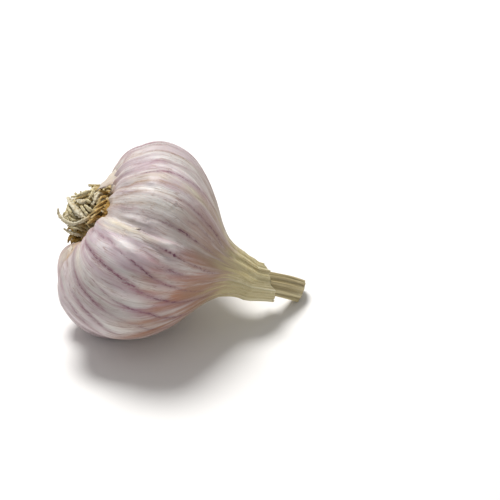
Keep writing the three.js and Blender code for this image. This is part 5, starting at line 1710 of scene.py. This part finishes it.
def endRoot(random, index):
    rule = endRoots
    turn = 2 * np.pi * (index + random.uniform(0, 0.9)) / rule["count"] * 5
    swing = random.uniform(*rule["turns"]) * degree * random.choice([-1, 1])
    alongs = np.array([random.uniform(*rule[name]) for name in ("starts", "middles", "middles", "ends")])
    turns = turn + swing * np.array([0, random.uniform(0.1, 0.35), random.uniform(0.5, 0.8), 1])
    shares = [random.uniform(*ends) for ends in rule["shares"]]
    radius = np.array(shares) * np.interp(alongs, *zip(*tuftReach))
    up, forward = tuftMiddle(alongs)
    stations = bulbPlace(alongs, up + radius * np.cos(turns), forward + radius * np.sin(turns))
    faceTo = unit(-axisWay + 0.3 * random.uniform(-1, 1, 3))
    width, depth = random.uniform(*rule["widths"]), random.uniform(*rule["depths"])
    return sweptRoot(stations, width, depth, faceTo, rule["taper"], random)


def rimKnob(random, index):
    rule = rimKnobs
    turn = 2 * np.pi * (index + random.uniform(0, 0.8)) / rule["count"]
    out = np.array([0, math.cos(turn), math.sin(turn)])
    aside = np.array([0, -math.sin(turn), math.cos(turn)])
    place = out * random.uniform(*rule["radius"]) + [headShape["outline"][0][0] + rule["sunk"], 0, 0]
    way = np.array([-1.0, 0, 0]) + rule["splay"] * random.uniform(-1, 0.9) * out
    way = way + random.uniform(-rule["aside"], rule["aside"]) * aside
    way *= random.uniform(*rule["lengths"]) / np.linalg.norm(way)
    bendAside, bendIn = rule["bends"]
    bend = random.uniform(-bendAside, bendAside) * aside - random.uniform(0, bendIn) * out
    stations = [bulbPlace(*(place + way * share + bend * share ** 2)) for share in (0, 0.35, 0.7, 1)]
    width = random.uniform(*rule["widths"])
    return sweptRoot(stations, width, width * rule["flat"], topWay, rule["taper"], random)


def fanRoot(random, index):
    rule = lowFan
    first, spread = rule["alongs"]
    along = first - spread * index / (rule["count"] - 1) + random.uniform(-0.2, 0.2)
    past, ups, forwards = rule["tip"]
    tip = (along + past, random.uniform(*ups), random.uniform(*forwards))
    baseAlong, baseUp, baseForward = rule["base"]
    places = [(baseAlong, baseUp, baseForward + random.uniform(-0.5, 0.5))]
    places += [(along + before, up, random.uniform(*forwards)) for before, up, forwards in rule["bends"]]
    stations = [bulbPlace(*place) for place in [*places, tip]]
    width = random.uniform(*rule["widths"])
    return sweptRoot(stations, width, width * rule["flat"], topWay, rule["taper"], random)


def tuftHeart():
    rows, sides = heart["rings"], heart["sides"]
    alongs = np.linspace(heart["from"], heart["to"], rows)
    turn = np.arange(sides) * 2 * np.pi / sides
    row = np.linspace(0, 5, rows)
    lump = 1 + heart["lump"] * np.sin(np.add.outer(2 * row, 3 * turn))
    strands = sum(height * np.sin(np.add.outer(row * turns, turn * count))
                  for height, turns, count in heart["strands"])
    closing = np.clip((rows - np.arange(rows)) / heart["closed"], 0.12, 1) ** 0.5
    radius = heart["share"] * np.interp(alongs, *zip(*tuftReach)) * closing
    radius = radius[:, None] * (lump + strands)
    up, forward = tuftMiddle(alongs)
    along = np.repeat(alongs, sides).reshape(rows, sides)
    across, through = radius * np.cos(turn), radius * np.sin(turn)
    points = bulbPlace(along, up[:, None] + across, forward[:, None] + through)
    ways = np.stack([across, through, along], axis=-1)
    tones = np.broadcast_to(heart["tones"], ways.shape).copy()
    return points, ways, tones


def makeRoots(material):
    random = np.random.default_rng(rootMesh["seed"])
    swept, addedShades = [], []

    def lay(root, addedShade=0.0, toneRun=1.0):
        root[2][..., 0] *= toneRun
        swept.append(root)
        addedShades.append(addedShade)

    lay(tuftHeart())
    for width, kind, stations in laidRoots:
        ownTone, toneRun, addedShade = rootKinds[kind]
        places = [bulbPlace(*station) for station in stations]
        along, up, forward = stations[-2]
        faceTo = unit(places[-2] - bulbPlace(along, *tuftMiddle(along)))
        depth = min(width, laidMesh["deepest"])
        root = sweptRoot(places, width, depth, faceTo, laidMesh["taper"], random)
        root[2][..., 1] = ownTone
        lay(root, addedShade, toneRun)
    laidEnd = len(swept)
    across = np.random.default_rng(endRoots["seed"])
    for index in range(endRoots["count"]):
        root = endRoot(across, index)
        root[2][..., 0] = 1.0
        lay(root, endRoots["lift"])
    state = [rootRule["seed"]]

    def packedNumber():
        state[0] = (state[0] * 1664525 + 1013904223) % 4294967296
        return state[0] / 4294967296

    for index in range(rootRule["count"]):
        root = curledRoot(random, index, rootRule, packedNumber)
        if index not in rootRule["leftOut"]:
            lay(root)
    finer = np.random.default_rng(fineRoots["seed"])
    low, high = (np.array(corner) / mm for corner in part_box("root_tuft"))
    for index in range(fineRoots["count"]):
        root = curledRoot(random, index, fineRoots, finer.random)
        if (root[0].min((0, 1)) > low).all() and (root[0].max((0, 1)) < high).all():
            lay(root)
    nest = np.random.default_rng(nestRoots["seed"])
    for _ in range(nestRoots["count"]):
        lay(nestRoot(nest))
    broken = np.random.default_rng(stubs["seed"])
    for _ in range(stubs["count"]):
        lay(stubRoot(broken))
    knobs = np.random.default_rng(rimKnobs["seed"])
    for index in range(rimKnobs["count"]):
        lay(rimKnob(knobs, index), 0.0, rimKnobs["toneRun"])
    fan = np.random.default_rng(lowFan["seed"])
    for index in range(lowFan["count"]):
        root = fanRoot(fan, index)
        root[2][..., 1] *= lowFan["paleness"]
        lay(root, lowFan["lift"], lowFan["toneRun"])
    points, faces, ways, tones, start = [], [], [], [], 0
    for rings, way, tone in swept:
        rows, sides = rings.shape[:2]
        points += [rings.reshape(-1, 3), [rings[0].mean(0)], [rings[-1].mean(0)]]
        ways += [way.reshape(-1, 3), way[0][:1], way[-1][:1]]
        tones += [tone.reshape(-1, 3), tone[0][:1], tone[-1][:1]]
        faces += tubeFaces(rows, sides, turned=True, start=start)
        start += rows * sides + 2
    points = np.concatenate(points)
    points = np.clip(points, low, high)
    fromAxis = points - bulbShift - [0, 0, headShape["axisHeight"]]
    along, up, forward = fromAxis @ axisWay, fromAxis @ topWay, fromAxis @ frontWay
    middleUp, middleForward = tuftMiddle(along)
    # painted shade: darker the deeper a point lies inside the tangle
    outside = np.hypot(up - middleUp, forward - middleForward) / np.interp(along, *zip(*tuftReach))
    depth = np.clip((tuftPaintedShade["from"] - outside) / tuftPaintedShade["over"], 0, 1)
    depth = depth * smoothStep(*tuftPaintedShade["atEnd"], along)
    counts = [rings.shape[0] * rings.shape[1] + 2 for rings, _, _ in swept]
    depth = np.clip(depth + np.repeat(addedShades, counts), 0, 1)
    tones = np.concatenate(tones)
    golden = underTangle["golden"] * smoothStep(underTangle["from"], underTangle["to"], up)
    laidPoints = sum(counts[:laidEnd])
    golden[:laidPoints] *= smoothStep(*underTangle["laid"], up[:laidPoints])
    tones[:, :2] *= 1 - golden[:, None]
    attributes = {"rootWay": np.concatenate(ways), "rootTone": tones, "rootPaintedShade": depth}
    piece = meshPiece("dried_roots", points, faces, material, attributes)
    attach(piece, "root")
    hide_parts("root_tuft")
    return piece


makePlate(makePlateMaterial())
rootPiece = makeRoots(makeRootMaterial())
print("roots made,", len(rootPiece.data.polygons), "faces")
